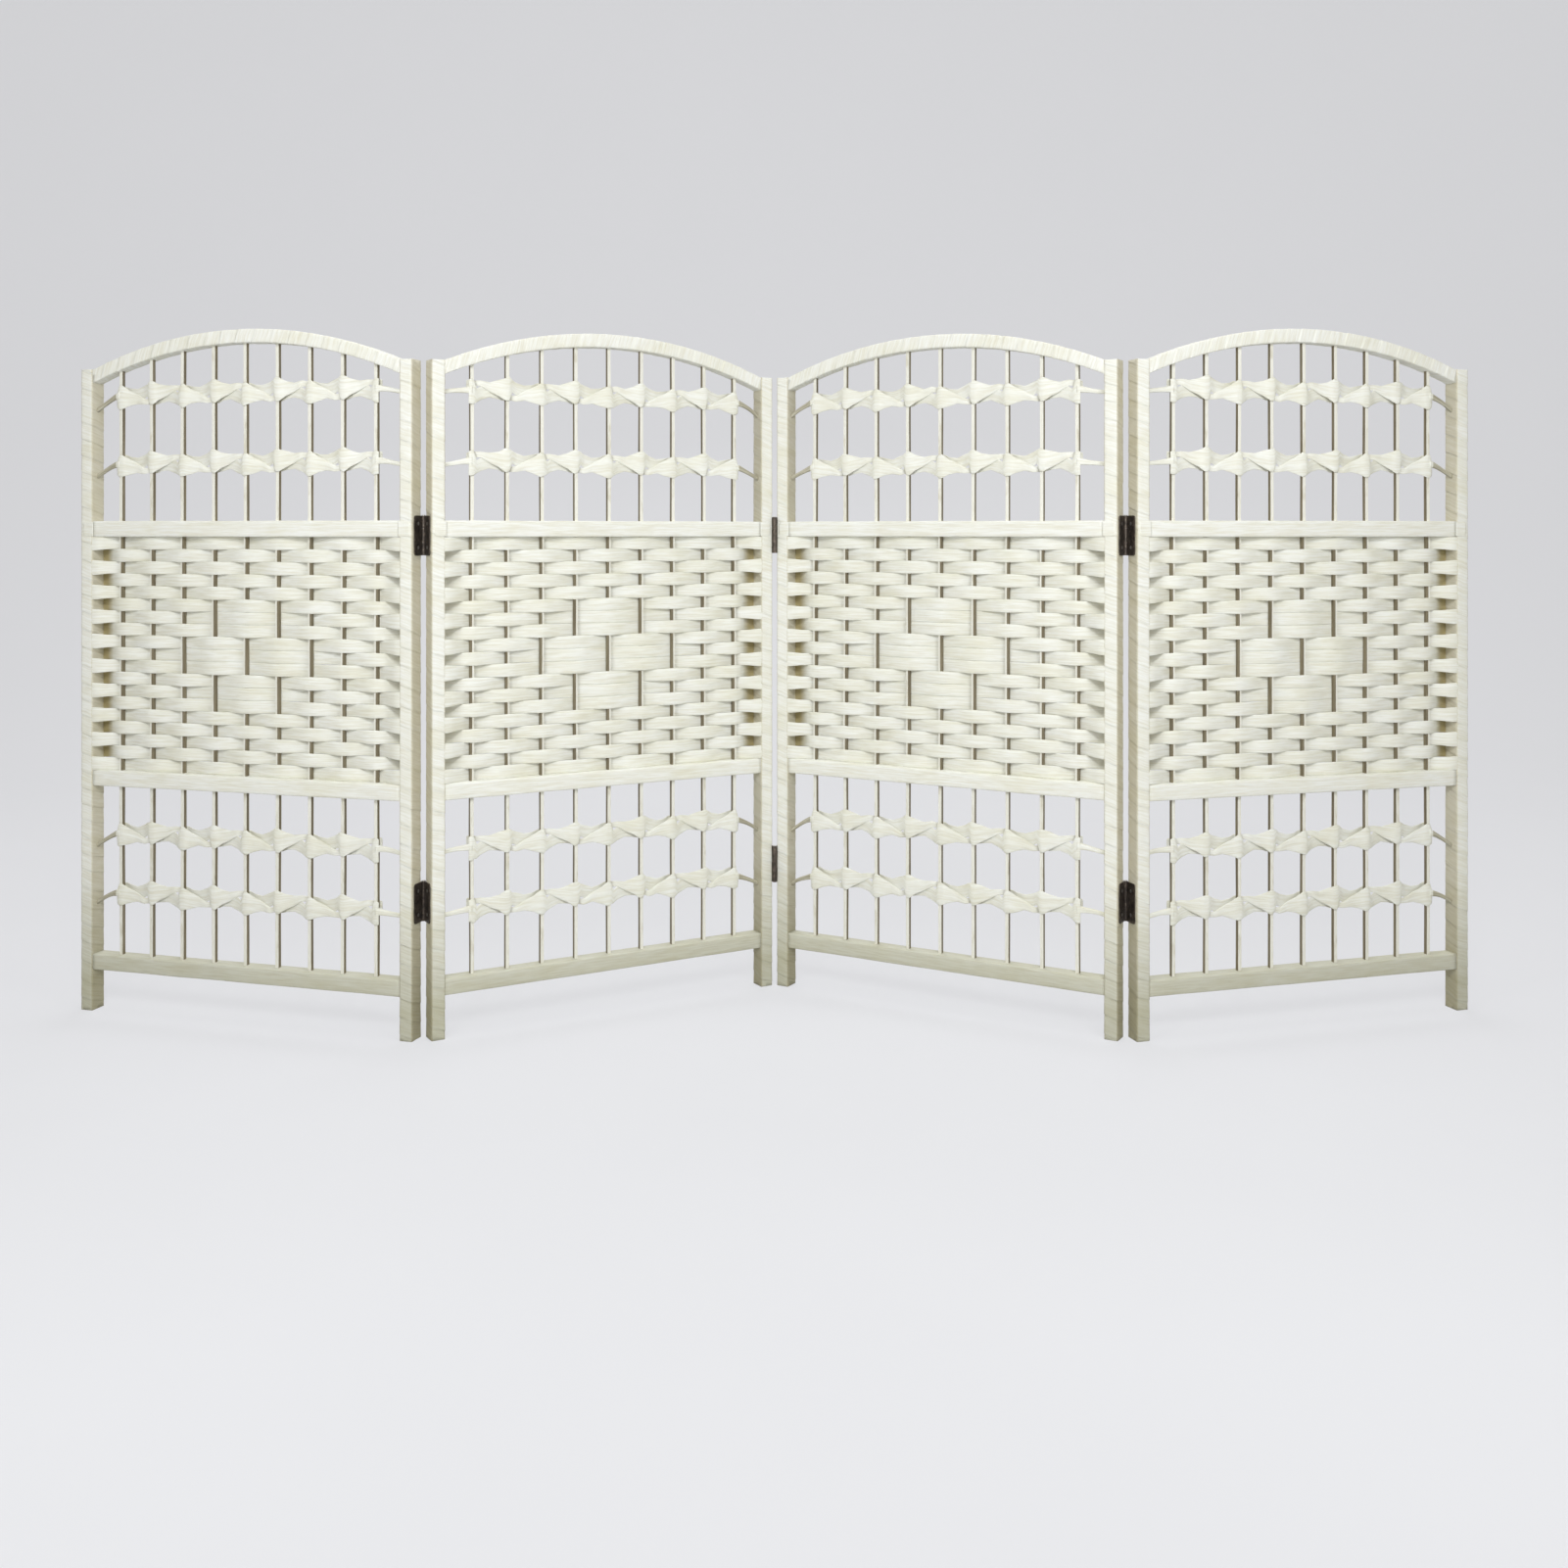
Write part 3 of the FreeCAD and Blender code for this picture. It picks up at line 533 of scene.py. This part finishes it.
def add_bump(tree, shader, height, depth, strength):
    """Relief on a shader from a height."""
    bump = tree.nodes.new("ShaderNodeBump")
    bump.inputs["Strength"].default_value = strength
    bump.inputs["Distance"].default_value = depth
    tree.links.new(height, bump.inputs["Height"])
    tree.links.new(bump.outputs["Normal"], shader.inputs["Normal"])


def paper_material(name, light, shade, low_shade=False):
    """Matt twisted paper: fine fibres and broader streaks along the ribbon, and patches of a deeper cream.

    Paper can also take painted shade that turns it greyer towards the floor.
    """
    material, tree, shader = new_material(name)
    fibre = point_value(tree, "fibre", "Vector")
    place = object_place(tree)
    streaks = scaled_noise(tree, fibre, scale=(28, 420, 7.3), detail=3)
    threads = scaled_noise(tree, fibre, scale=(60, 1700, 3.1), detail=2)
    patches = scaled_noise(tree, place, scale=(14, 14, 30), detail=3)
    middle = tuple((a + b) / 2 for a, b in zip(light, shade))
    base = ramp(tree, streaks, ((0.3, shade), (0.47, middle), (0.6, light)))
    fine = ramp(tree, threads, ((0.3, (0.9, 0.89, 0.86)), (0.55, WHITE)))
    cream = ramp(tree, patches, ((0.32, (0.95, 0.94, 0.88)), (0.6, WHITE)))
    toned = blend_colours(tree, "MULTIPLY", base, fine, amount=0.8)
    clean = blend_colours(tree, "MULTIPLY", toned, cream, amount=0.9)
    # Painted shade from each point's amount: the side faces of the stiles, and even rows turning behind the
    # far stile
    colour = deepened(tree, clean, point_value(tree, "painted_shade", "Fac"), PAINTED_SHADE_COLOUR)
    # Painted shade, greyer towards the floor
    if low_shade:
        colour = deepened(tree, colour, near_floor(tree, place), LOW_SHADE_COLOUR)
    tree.links.new(colour, shader.inputs["Base Color"])
    add_roughness(tree, shader, threads, low=0.7, high=0.92)
    relief = blend_colours(tree, "MIX", streaks, threads, amount=0.4)
    add_bump(tree, shader, relief, depth=0.5 * MM, strength=0.5)
    return material


def wood_material(name, dark, middle, light):
    """Thin wooden sticks: grain along the stick and darker flecks."""
    material, tree, shader = new_material(name)
    place = object_place(tree)
    grain = scaled_noise(tree, place, scale=(700, 700, 14), detail=4)
    flecks = scaled_noise(tree, place, scale=(160, 160, 45), detail=2)
    wood = ramp(tree, grain, ((0.3, dark), (0.5, middle), (0.68, light)))
    worn = ramp(tree, flecks, ((0.3, (0.8, 0.77, 0.7)), (0.45, WHITE)))
    colour = blend_colours(tree, "MULTIPLY", wood, worn, amount=0.8)
    tree.links.new(colour, shader.inputs["Base Color"])
    add_roughness(tree, shader, grain, low=0.55, high=0.8)
    add_bump(tree, shader, grain, depth=0.2 * MM, strength=0.4)
    return material


def bronze_material():
    """Dark bronze lacquer, cloudy, with small brighter rubs."""
    material, tree, shader = new_material("hinge_bronze")
    place = object_place(tree)
    clouds = scaled_noise(tree, place, scale=(160, 160, 160), detail=4)
    rubs = scaled_noise(tree, place, scale=(520, 520, 300), detail=3)
    lacquer = ramp(tree, clouds, ((0.35, (0.045, 0.038, 0.033)), (0.65, (0.12, 0.098, 0.08))))
    worn = ramp(tree, rubs, ((0.56, BLACK), (0.76, (0.3, 0.24, 0.17))))
    colour = blend_colours(tree, "ADD", lacquer, worn, amount=0.7)
    tree.links.new(colour, shader.inputs["Base Color"])
    shader.inputs["Metallic"].default_value = 0.7
    add_roughness(tree, shader, clouds, low=0.32, high=0.55)
    add_bump(tree, shader, rubs, depth=0.1 * MM, strength=0.25)
    return material


def steel_material():
    """Darkened steel of the pins and screws, faintly brushed."""
    material, tree, shader = new_material("dark_steel")
    brushed = scaled_noise(tree, object_place(tree), scale=(900, 900, 120), detail=3)
    colour = ramp(tree, brushed, ((0.35, (0.48, 0.46, 0.43)), (0.65, (0.7, 0.68, 0.64))))
    tree.links.new(colour, shader.inputs["Base Color"])
    shader.inputs["Metallic"].default_value = 0.9
    add_roughness(tree, shader, brushed, low=0.28, high=0.45)
    return material


RIBBON_PAPER = paper_material("paper_ribbon", (0.9, 0.91, 0.86), (0.8, 0.79, 0.69))
# The frame paper takes painted shade towards the floor
FRAME_PAPER = paper_material("wrapped_frame", (0.9, 0.91, 0.87), (0.81, 0.8, 0.71), low_shade=True)
PALE_WOOD = wood_material("stick_face", (0.76, 0.74, 0.64), (0.84, 0.83, 0.75), (0.88, 0.87, 0.8))
# Painted shade for the sticks' sides and, inside the weave, the near half of their faces
PAINTED_SHADE_WOOD = wood_material("stick_side_painted_shade", (0.12, 0.098, 0.06), (0.19, 0.16, 0.1), (0.27, 0.23, 0.15))
# Painted shade for the far links of the bands
FAR_LINK_PAINTED_SHADE = paper_material("paper_link_painted_shade", (0.55, 0.53, 0.43), (0.35, 0.325, 0.24))
HINGE_BRONZE = bronze_material()
DARK_STEEL = steel_material()


# Frame of a panel

def make_stile(panel, side, sign, rng):
    """An upright wrapped in ribbon from the floor to its top, with painted shade on its two side faces."""
    half_a = (HALF_WIDTH - HALF_OPENING) / 2
    mesh = new_mesh(f"{side}_stile", *wound_bar(STILE_TOP, half_a, HALF_DEPTH, rng))
    cut_ends(mesh, STILE_TOP)
    past_face = np.array([abs(vertex.co.x) for vertex in mesh.vertices]) - (half_a - WRAP_CORNER)
    # Painted shade on the side faces, rising past the corners of the front and back faces
    add_painted_shade(mesh, SIDE_PAINTED_SHADE * np.clip(past_face / WRAP_STEP, 0, 1))
    mesh.transform(Matrix.Translation((sign * (HALF_WIDTH + HALF_OPENING) / 2, 0, 0)))
    place_piece(f"{side}_stile_wrap", mesh, panel, FRAME_PAPER, [f"{side}_stile"])


def make_arch(panel, rng):
    """The curved top rail, as deep as the upper rail and wrapped in ribbon like the stiles."""
    half_depth = RAIL_BOXES["upper_rail"][1][1]
    length = 2 * (HALF_OPENING + RAIL_TUCK)
    mesh = new_mesh("arch", *wound_bar(length, half_depth, ARCH_THICKNESS / 2, rng))
    cut_ends(mesh, length)
    lay_down = Matrix((
        (0, 0, 1, -length / 2),
        (1, 0, 0, 0),
        (0, 1, 0, ARCH_THICKNESS / 2),
        (0, 0, 0, 1),
    ))
    mesh.transform(lay_down)
    for vertex in mesh.vertices:
        vertex.co.z += float(arch_underside(vertex.co.x))
    place_piece("top_rail_wrap", mesh, panel, FRAME_PAPER, ["top_rail"])


def bar_along(x, half_a, half_b, level, rng):
    """A paper-covered bar along x, with soft edges and a slightly uneven face."""
    points, normals = rounded_section(half_a, half_b, RAIL_CORNER)
    distance, perimeter = way_round(points)
    angle = 2 * math.pi * distance / perimeter
    relief = np.zeros((len(x), len(points)))
    for wave in RAIL_WAVES:
        pace = rng.uniform(*RAIL_PACES)
        phase = rng.uniform(*ANY_PHASE)
        relief += RAIL_RELIEF * np.sin(wave * angle + pace * x[:, None] + phase)
    section = points + normals * (relief - RAIL_INSET)[:, :, None]
    along = np.broadcast_to(x[:, None], relief.shape)
    rings = np.stack((along, section[:, :, 0], section[:, :, 1] + level), axis=2)
    across = np.broadcast_to(distance, relief.shape)
    number = np.full(along.shape, rng.uniform(*RAIL_FIBRES))
    return loft(rings, np.stack((along, across, number), axis=2))


def strap_over(sign_x, sign_y, level, half_height, rng):
    """The end of a rail's paper, laid flat over the face of a stile."""
    outer = HALF_WIDTH - STRAP_INSET
    x = np.linspace(HALF_OPENING - STRAP_TUCK, outer, STRAP_RINGS)
    from_end = np.clip((outer - x) / STRAP_ROUNDING, 0, 1)
    taper = np.sqrt(from_end * (1 - STRAP_BLUNTNESS) + STRAP_BLUNTNESS)
    reach = half_height * (1 - STRAP_NARROWING + STRAP_NARROWING * taper)
    y = np.full(len(x), sign_y * (HALF_DEPTH - STRAP_SINK))
    if sign_x < 0:
        x, reach = -x[::-1], reach[::-1]
    return ribbon(x, y, level - reach, level + reach, np.zeros(len(x)), STRAP_THICKNESS, rng)


def make_rail(panel, name, rng):
    """A straight rail under lengthwise paper. The upper rail's paper runs on over the stiles."""
    low, high = RAIL_BOXES[name]
    level = rail_level(name)
    half_height = (high[2] - low[2]) / 2
    end = HALF_OPENING + RAIL_TUCK
    x = np.linspace(-end, end, int(2 * HALF_OPENING / RAIL_STEP))
    parts = [bar_along(x, high[1], half_height, level, rng)]
    if name == "upper_rail":
        for sign_x in (-1, 1):
            for sign_y in (-1, 1):
                parts.append(strap_over(sign_x, sign_y, level, half_height - STRAP_MARGIN, rng))
    mesh = join_lofts(name, parts)
    place_piece(f"{name}_wrap", mesh, panel, FRAME_PAPER, [name])


# Sticks

def slow_wave(along, paces, rng):
    """A wave of some pace and phase along a piece."""
    pace = rng.uniform(*paces)
    phase = rng.uniform(*ANY_PHASE)
    return np.sin(pace * along + phase)


def make_stick(place, section, rng):
    """One upright stick, slightly bowed and uneven."""
    top = float(arch_underside(place)) + STICK_TUCK
    z = np.linspace(STICK_FOOT, top, STICK_RINGS)
    x_bow = STICK_BOW * slow_wave(z, BOW_PACES, rng)
    y_bow = STICK_BOW * slow_wave(z, BOW_PACES, rng)
    girth = 1 - GIRTH_CHANGE + GIRTH_CHANGE * slow_wave(z, GIRTH_PACES, rng)
    x_ring = place + x_bow[:, None] + girth[:, None] * section[:, 0]
    y_ring = y_bow[:, None] + girth[:, None] * section[:, 1]
    rings = np.stack((x_ring, y_ring, np.broadcast_to(z[:, None], x_ring.shape)), axis=2)
    return loft(rings, rings)


def takes_painted_shade(face, handed):
    """True for a face that takes painted shade: a stick's sides, and inside the weave the near half of its
    faces.
    """
    on_side = abs(face.normal.x) > abs(face.normal.y)
    in_weave = rail_level("lower_rail") < face.center.z < rail_level("upper_rail")
    offset = face.center.x - STICK_PLACES[np.abs(STICK_PLACES - face.center.x).argmin()]
    return on_side or (in_weave and handed * offset > 0)


def make_sticks(panel, handed, rng):
    """The nine upright sticks, with painted shade on their sides and pale faces."""
    section, _ = rounded_section(
        STICK_HALF_WIDTH, STICK_HALF_DEPTH, STICK_CORNER, corner_steps=2, side_steps=2)
    mesh = join_lofts("sticks", [make_stick(place, section, rng) for place in STICK_PLACES])
    place_piece("stick_set", mesh, panel, PALE_WOOD, ["sticks"])
    mesh.materials.append(PAINTED_SHADE_WOOD)
    for face in mesh.polygons:
        face.use_smooth = False
        if takes_painted_shade(face, handed):
            face.material_index = 1


# Woven field

def weft_in_front(row, stick):
    """True where a row passes in front of a stick. Three rows step the other way to draw the diamond."""
    first, last = DIAMOND_ROWS.get(row, NO_STICKS)
    return ((row + stick) % 2 == 1) != (first <= stick <= last)


def weft_side(row, stick):
    """-1 where a row is in front of a stick, 1 where it is behind."""
    return -1 if weft_in_front(row, stick) else 1


def edge_overlap(row, neighbour, rng):
    """How far a row's edge spreads past the middle of the gap to its neighbour.

    Gives places along x and the values there. The edge spreads where the two rows part about a stick, and
    at the stiles.
    """
    crossing = HALF_OPENING - STICK_PLACES[-1] - LAP_FADE
    open_edge = 1 <= neighbour <= ROW_COUNT
    lap = LAP_SPREAD if open_edge else -ROW_GAP
    places = [-HALF_OPENING - WEFT_LAP, -HALF_OPENING, STICK_PLACES[0] - crossing]
    values = [lap, lap, -ROW_GAP]
    for stick, place in enumerate(STICK_PLACES, start=1):
        parted = open_edge and weft_in_front(row, stick) != weft_in_front(neighbour, stick)
        places.append(place)
        values.append(WEFT_OVERLAP * rng.uniform(*OVERLAP_SPREAD) if parted else -ROW_GAP)
        if stick < STICK_COUNT:
            places.append(place + STICK_PITCH / 2)
            values.append(-ROW_GAP)
    places += [STICK_PLACES[-1] + crossing, HALF_OPENING, HALF_OPENING + WEFT_LAP]
    values += [-ROW_GAP, lap, lap]
    return places, values


def make_weft(row, rng):
    """One ribbon of the woven field, from stile to stile.

    Odd rows lap onto the fronts of the stiles, and even rows onto their backs.
    """
    end = HALF_OPENING + WEFT_LAP
    end_side = -1 if row % 2 else 1
    lap = end_side * (HALF_DEPTH - LAP_DEPTH)
    sides = []
    for stick in range(1, STICK_COUNT + 1):
        sides.append(weft_side(row, stick) * WEFT_REACH * rng.uniform(*REACH_SPREAD))
    places = [-end, -HALF_OPENING, *STICK_PLACES, HALF_OPENING, end]
    x = np.arange(-end, end + RIBBON_STEP / 2, RIBBON_STEP)
    y = curve_through(places, [lap * LAP_END, lap, *sides, lap, lap * LAP_END], x)
    y = np.clip(y, -HALF_DEPTH + LAP_DEPTH, HALF_DEPTH - LAP_DEPTH)
    middle = WEAVE_TOP - (row - 0.5) * ROW_PITCH
    top = middle + ROW_PITCH / 2 + curve_through(*edge_overlap(row, row - 1, rng), x)
    bottom = middle - ROW_PITCH / 2 - curve_through(*edge_overlap(row, row + 1, rng), x)
    from_stile = np.clip((HALF_OPENING - np.abs(x)) / CROWN_FADE, 0, 1)
    crown = WEFT_CROWN * np.clip(y / WEFT_REACH, -1, 1) * from_stile
    return ribbon(x, y, bottom, top, crown, WEFT_THICKNESS, rng)


def weft_painted_shade(row, handed, points):
    """How much painted shade each point of a ribbon takes: even rows darken where they turn behind the far
    stile.
    """
    if row % 2:
        return np.zeros(len(points))
    inside = HALF_OPENING + handed * points[:, 0]
    return np.clip((PAINTED_SHADE_START - inside) / (PAINTED_SHADE_START - PAINTED_SHADE_END), 0, 1)


def make_weave(panel, handed, rng):
    """The woven field of nineteen ribbons."""
    wefts = [make_weft(row, rng) for row in range(1, ROW_COUNT + 1)]
    mesh = join_lofts("weave", wefts)
    # Painted shade on even rows where they turn behind the far stile
    painted_shades = [weft_painted_shade(row, handed, points) for row, (points, _, _) in enumerate(wefts, start=1)]
    add_painted_shade(mesh, np.concatenate(painted_shades))
    place_piece("weave", mesh, panel, RIBBON_PAPER, ["wefts"])


# Lattice bands

def twined_ribbon(level, first, handed, rng):
    """One of the two ribbons of a band. It covers every second stick and goes behind the ones between.

    The ribbon that starts at the second stick is the other one upside down.
    """
    places, depths, lows, highs = [], [], [], []
    for stick in range(first - 2, STICK_COUNT + 3, 2):
        start = (stick - (STICK_COUNT + 1) / 2) * STICK_PITCH
        for share, depth, low, high in TWINE_STEPS:
            size = rng.uniform(*BAND_SPREAD)
            places.append(start + share * STICK_PITCH)
            depths.append(depth * MM)
            lows.append(low * size * MM)
            highs.append(high * size * MM)
    x = np.linspace(-BAND_END, BAND_END, int(2 * BAND_END / BAND_STEP))
    y = curve_through(places, depths, handed * x)
    low = np.interp(handed * x, places, lows)
    high = np.interp(handed * x, places, highs)
    if first == 2:
        low, high = -high, -low
    crown = BAND_CROWN * np.clip(y / WEFT_REACH, -1, 1)
    return ribbon(x, y, level + low, level + high, crown, BAND_THICKNESS, rng)


def make_link(level, sign, fall, rng):
    """The gathered end of a band, a soft strip from the outer stick down to the stile's inner face."""
    share = np.linspace(0, 1, LINK_RINGS)
    x = sign * (HALF_OPENING + LINK_TUCK + (STICK_PLACES[-1] - HALF_OPENING) * share)
    y = -WEFT_REACH * share ** 2
    waver = LINK_WAVER * np.sin(LINK_WAVER_PACE * share + rng.uniform(*ANY_PHASE))
    middle = level - fall * (1 - share) ** LINK_BEND - waver
    half = LINK_HALF_AT_STILE + (LINK_HALF_AT_STICK - LINK_HALF_AT_STILE) * share ** 3
    if sign > 0:
        x, y, middle, half = x[::-1], y[::-1], middle[::-1], half[::-1]
    return ribbon(x, y, middle - half, middle + half, np.zeros(len(x)), LINK_THICKNESS, rng)


def make_lattice(panel, name, handed, rng):
    """The two twined bands of an open field, with their links to the stiles. The far link falls more, and
    the far links take painted shade.
    """
    low, high = local_box(name)
    levels = (low[2] + BAND_HALF, high[2] - BAND_HALF)
    lofts = []
    for level, far_drop in zip(levels, FAR_LINK_DROPS):
        for first in (1, 2):
            lofts.append(twined_ribbon(level, first, handed, rng))
        lofts.append(make_link(level, -handed, far_drop, rng))
        lofts.append(make_link(level, handed, NEAR_LINK_DROP, rng))
    mesh = join_lofts(name, lofts)
    place_piece(f"{name}_bands", mesh, panel, RIBBON_PAPER, [name])
    mesh.materials.append(FAR_LINK_PAINTED_SHADE)
    # Painted shade on the far links
    for face in mesh.polygons:
        if -handed * face.center.x > LINK_START:
            face.material_index = 1


# The screen

def make_panel(panel, handed, rng):
    """All the wood and paper of a panel.

    Its near side is the right one where handed is 1, and the left one where it is -1.
    """
    make_stile(panel, "left", -1, rng)
    make_stile(panel, "right", 1, rng)
    make_arch(panel, rng)
    for rail in RAIL_NAMES:
        make_rail(panel, rail, rng)
    make_sticks(panel, handed, rng)
    make_weave(panel, handed, rng)
    make_lattice(panel, "upper_lattice", handed, rng)
    make_lattice(panel, "lower_lattice", handed, rng)


def metal_of(name):
    """The metal of a hinge's part, or nothing for the other parts."""
    if name.endswith("_leaf"):
        return HINGE_BRONZE
    if name.endswith(("_screws", "_pins")):
        return DARK_STEEL
    return None


for number, panel_name in enumerate(PANELS):
    mirrored = -1 if number % 2 else 1
    make_panel(panel_name, mirrored, np.random.default_rng(FIRST_SEED + number))

for node_name, node in frame["nodes"].items():
    metal = metal_of(node_name)
    if metal:
        node.data.materials.clear()
        node.data.materials.append(metal)


# Studio

FLOOR_HALF_WIDTH = 9
FLOOR_FRONT = -7
BACKDROP_PLACE = 3.2
BACKDROP_HEIGHT = 5
SWEEP_RADIUS = 1.6
SWEEP_STEPS = 12
FLOOR_DARK = (0.64, 0.645, 0.66)
FLOOR_LIGHT = (0.66, 0.665, 0.68)
FLOOR_ROUGHNESS = 0.9
FLOOR_GLOW = (0.86, 0.865, 0.9, 1)
FLOOR_GLOW_SHARE = 0.64
SURROUND = (0.7, 0.705, 0.74, 1)
FILL_COLOUR = (1, 0.95, 0.8, 1)
FILL_STRENGTH = 0.27
LAMP_COLOUR = (0.97, 0.985, 1)
CAMERA_PLACE = (0, -2.1, 0.635)


def add_floor():
    """A pale floor that sweeps up into a backdrop."""
    sweep_start = BACKDROP_PLACE - SWEEP_RADIUS
    profile = [(FLOOR_FRONT, 0), (sweep_start, 0)]
    for step in range(1, SWEEP_STEPS + 1):
        angle = math.radians(90 * step / SWEEP_STEPS)
        y = sweep_start + SWEEP_RADIUS * math.sin(angle)
        z = SWEEP_RADIUS - SWEEP_RADIUS * math.cos(angle)
        profile.append((y, z))
    profile.append((BACKDROP_PLACE, BACKDROP_HEIGHT))
    vertices = [(side * FLOOR_HALF_WIDTH, y, z) for y, z in profile for side in (-1, 1)]
    faces = [(2 * i, 2 * i + 1, 2 * i + 3, 2 * i + 2) for i in range(len(profile) - 1)]
    mesh = bpy.data.meshes.new("floor")
    mesh.from_pydata(vertices, [], faces)
    mesh.shade_smooth()
    floor = bpy.data.objects.new("floor", mesh)
    bpy.context.scene.collection.objects.link(floor)
    mesh.materials.append(floor_material())


def seen_directly(tree):
    """1 for what the camera sees straight, in a reflection or through glass, 0 for light on the object."""
    ray = tree.nodes.new("ShaderNodeLightPath")
    seen = ray.outputs["Is Camera Ray"]
    for kind in ("Is Glossy Ray", "Is Transmission Ray"):
        either = tree.nodes.new("ShaderNodeMath")
        either.operation = "MAXIMUM"
        tree.links.new(seen, either.inputs[0])
        tree.links.new(ray.outputs[kind], either.inputs[1])
        seen = either.outputs[0]
    return seen


def mix_shaders(tree, share, first, second, output):
    """Sends to the output the first shader where the share is 0, and the second where it is 1."""
    mix = tree.nodes.new("ShaderNodeMixShader")
    tree.links.new(share, mix.inputs["Fac"])
    tree.links.new(first, mix.inputs[1])
    tree.links.new(second, mix.inputs[2])
    tree.links.new(mix.outputs["Shader"], tree.nodes[output].inputs["Surface"])


def floor_material():
    """A dim matt floor that looks pale and even to the camera, and keeps the shadow."""
    material, tree, shader = new_material("studio_floor")
    mottle = scaled_noise(tree, object_place(tree), scale=(3, 3, 3), detail=2)
    colour = ramp(tree, mottle, ((0.3, FLOOR_DARK), (0.7, FLOOR_LIGHT)))
    tree.links.new(colour, shader.inputs["Base Color"])
    shader.inputs["Roughness"].default_value = FLOOR_ROUGHNESS
    glow = tree.nodes.new("ShaderNodeEmission")
    glow.inputs["Color"].default_value = FLOOR_GLOW
    share = tree.nodes.new("ShaderNodeMath")
    share.operation = "MULTIPLY"
    share.inputs[1].default_value = FLOOR_GLOW_SHARE
    tree.links.new(seen_directly(tree), share.inputs[0])
    mix_shaders(tree, share.outputs[0], shader.outputs["BSDF"], glow.outputs["Emission"], "Material Output")
    return material


def add_world():
    """Even, slightly warm light from all round, which looks like the pale floor to the camera."""
    world = bpy.data.worlds.new("studio")
    world.use_nodes = True
    tree = world.node_tree
    fill = tree.nodes["Background"]
    fill.inputs["Color"].default_value = FILL_COLOUR
    fill.inputs["Strength"].default_value = FILL_STRENGTH
    pale = tree.nodes.new("ShaderNodeBackground")
    pale.inputs["Color"].default_value = SURROUND
    backgrounds = (fill.outputs["Background"], pale.outputs["Background"])
    mix_shaders(tree, seen_directly(tree), *backgrounds, "World Output")
    bpy.context.scene.world = world


def add_lamp(name, place, target, size, power):
    """A soft lamp that faces a point."""
    data = bpy.data.lights.new(name, "AREA")
    data.shape = "RECTANGLE"
    data.size, data.size_y = size
    data.energy = power
    data.color = LAMP_COLOUR
    lamp = bpy.data.objects.new(name, data)
    lamp.location = place
    lamp.rotation_euler = (Vector(target) - Vector(place)).to_track_quat("-Z", "Y").to_euler()
    lamp.visible_camera = False
    bpy.context.scene.collection.objects.link(lamp)


def add_lamps():
    """A strip for each end of the screen, and lamps before, above and behind it."""
    for side in (-1, 1):
        place = (side * 0.66, -1.15, 1)
        target = (side * 0.78, 0, 0.45)
        add_lamp(f"strip_{side}", place, target, size=(0.35, 0.8), power=5.1)
    add_lamp("beside_camera", place=(0, -2.1, 1.6), target=(0, 0, 0.42), size=(0.5, 0.5), power=17.6)
    add_lamp("overhead", place=(0, -0.2, 3.4), target=(0, 0, 0), size=(2, 2), power=30)
    add_lamp("behind", place=(0, 2, 2.2), target=(0, 0, 0.5), size=(2.2, 1.2), power=26)


def add_camera():
    """A level camera before the screen, its frame lowered so that the screen stands above the middle."""
    data = bpy.data.cameras.new("camera")
    data.sensor_width = 36
    data.lens = 36.3
    data.shift_x = 0.006
    data.shift_y = -0.161
    camera = bpy.data.objects.new("camera", data)
    camera.location = CAMERA_PLACE
    camera.rotation_euler = (math.radians(90), 0, 0)
    bpy.context.scene.collection.objects.link(camera)
    bpy.context.scene.camera = camera


add_floor()
add_world()
add_lamps()
add_camera()
bpy.context.scene.view_settings.view_transform = "Standard"
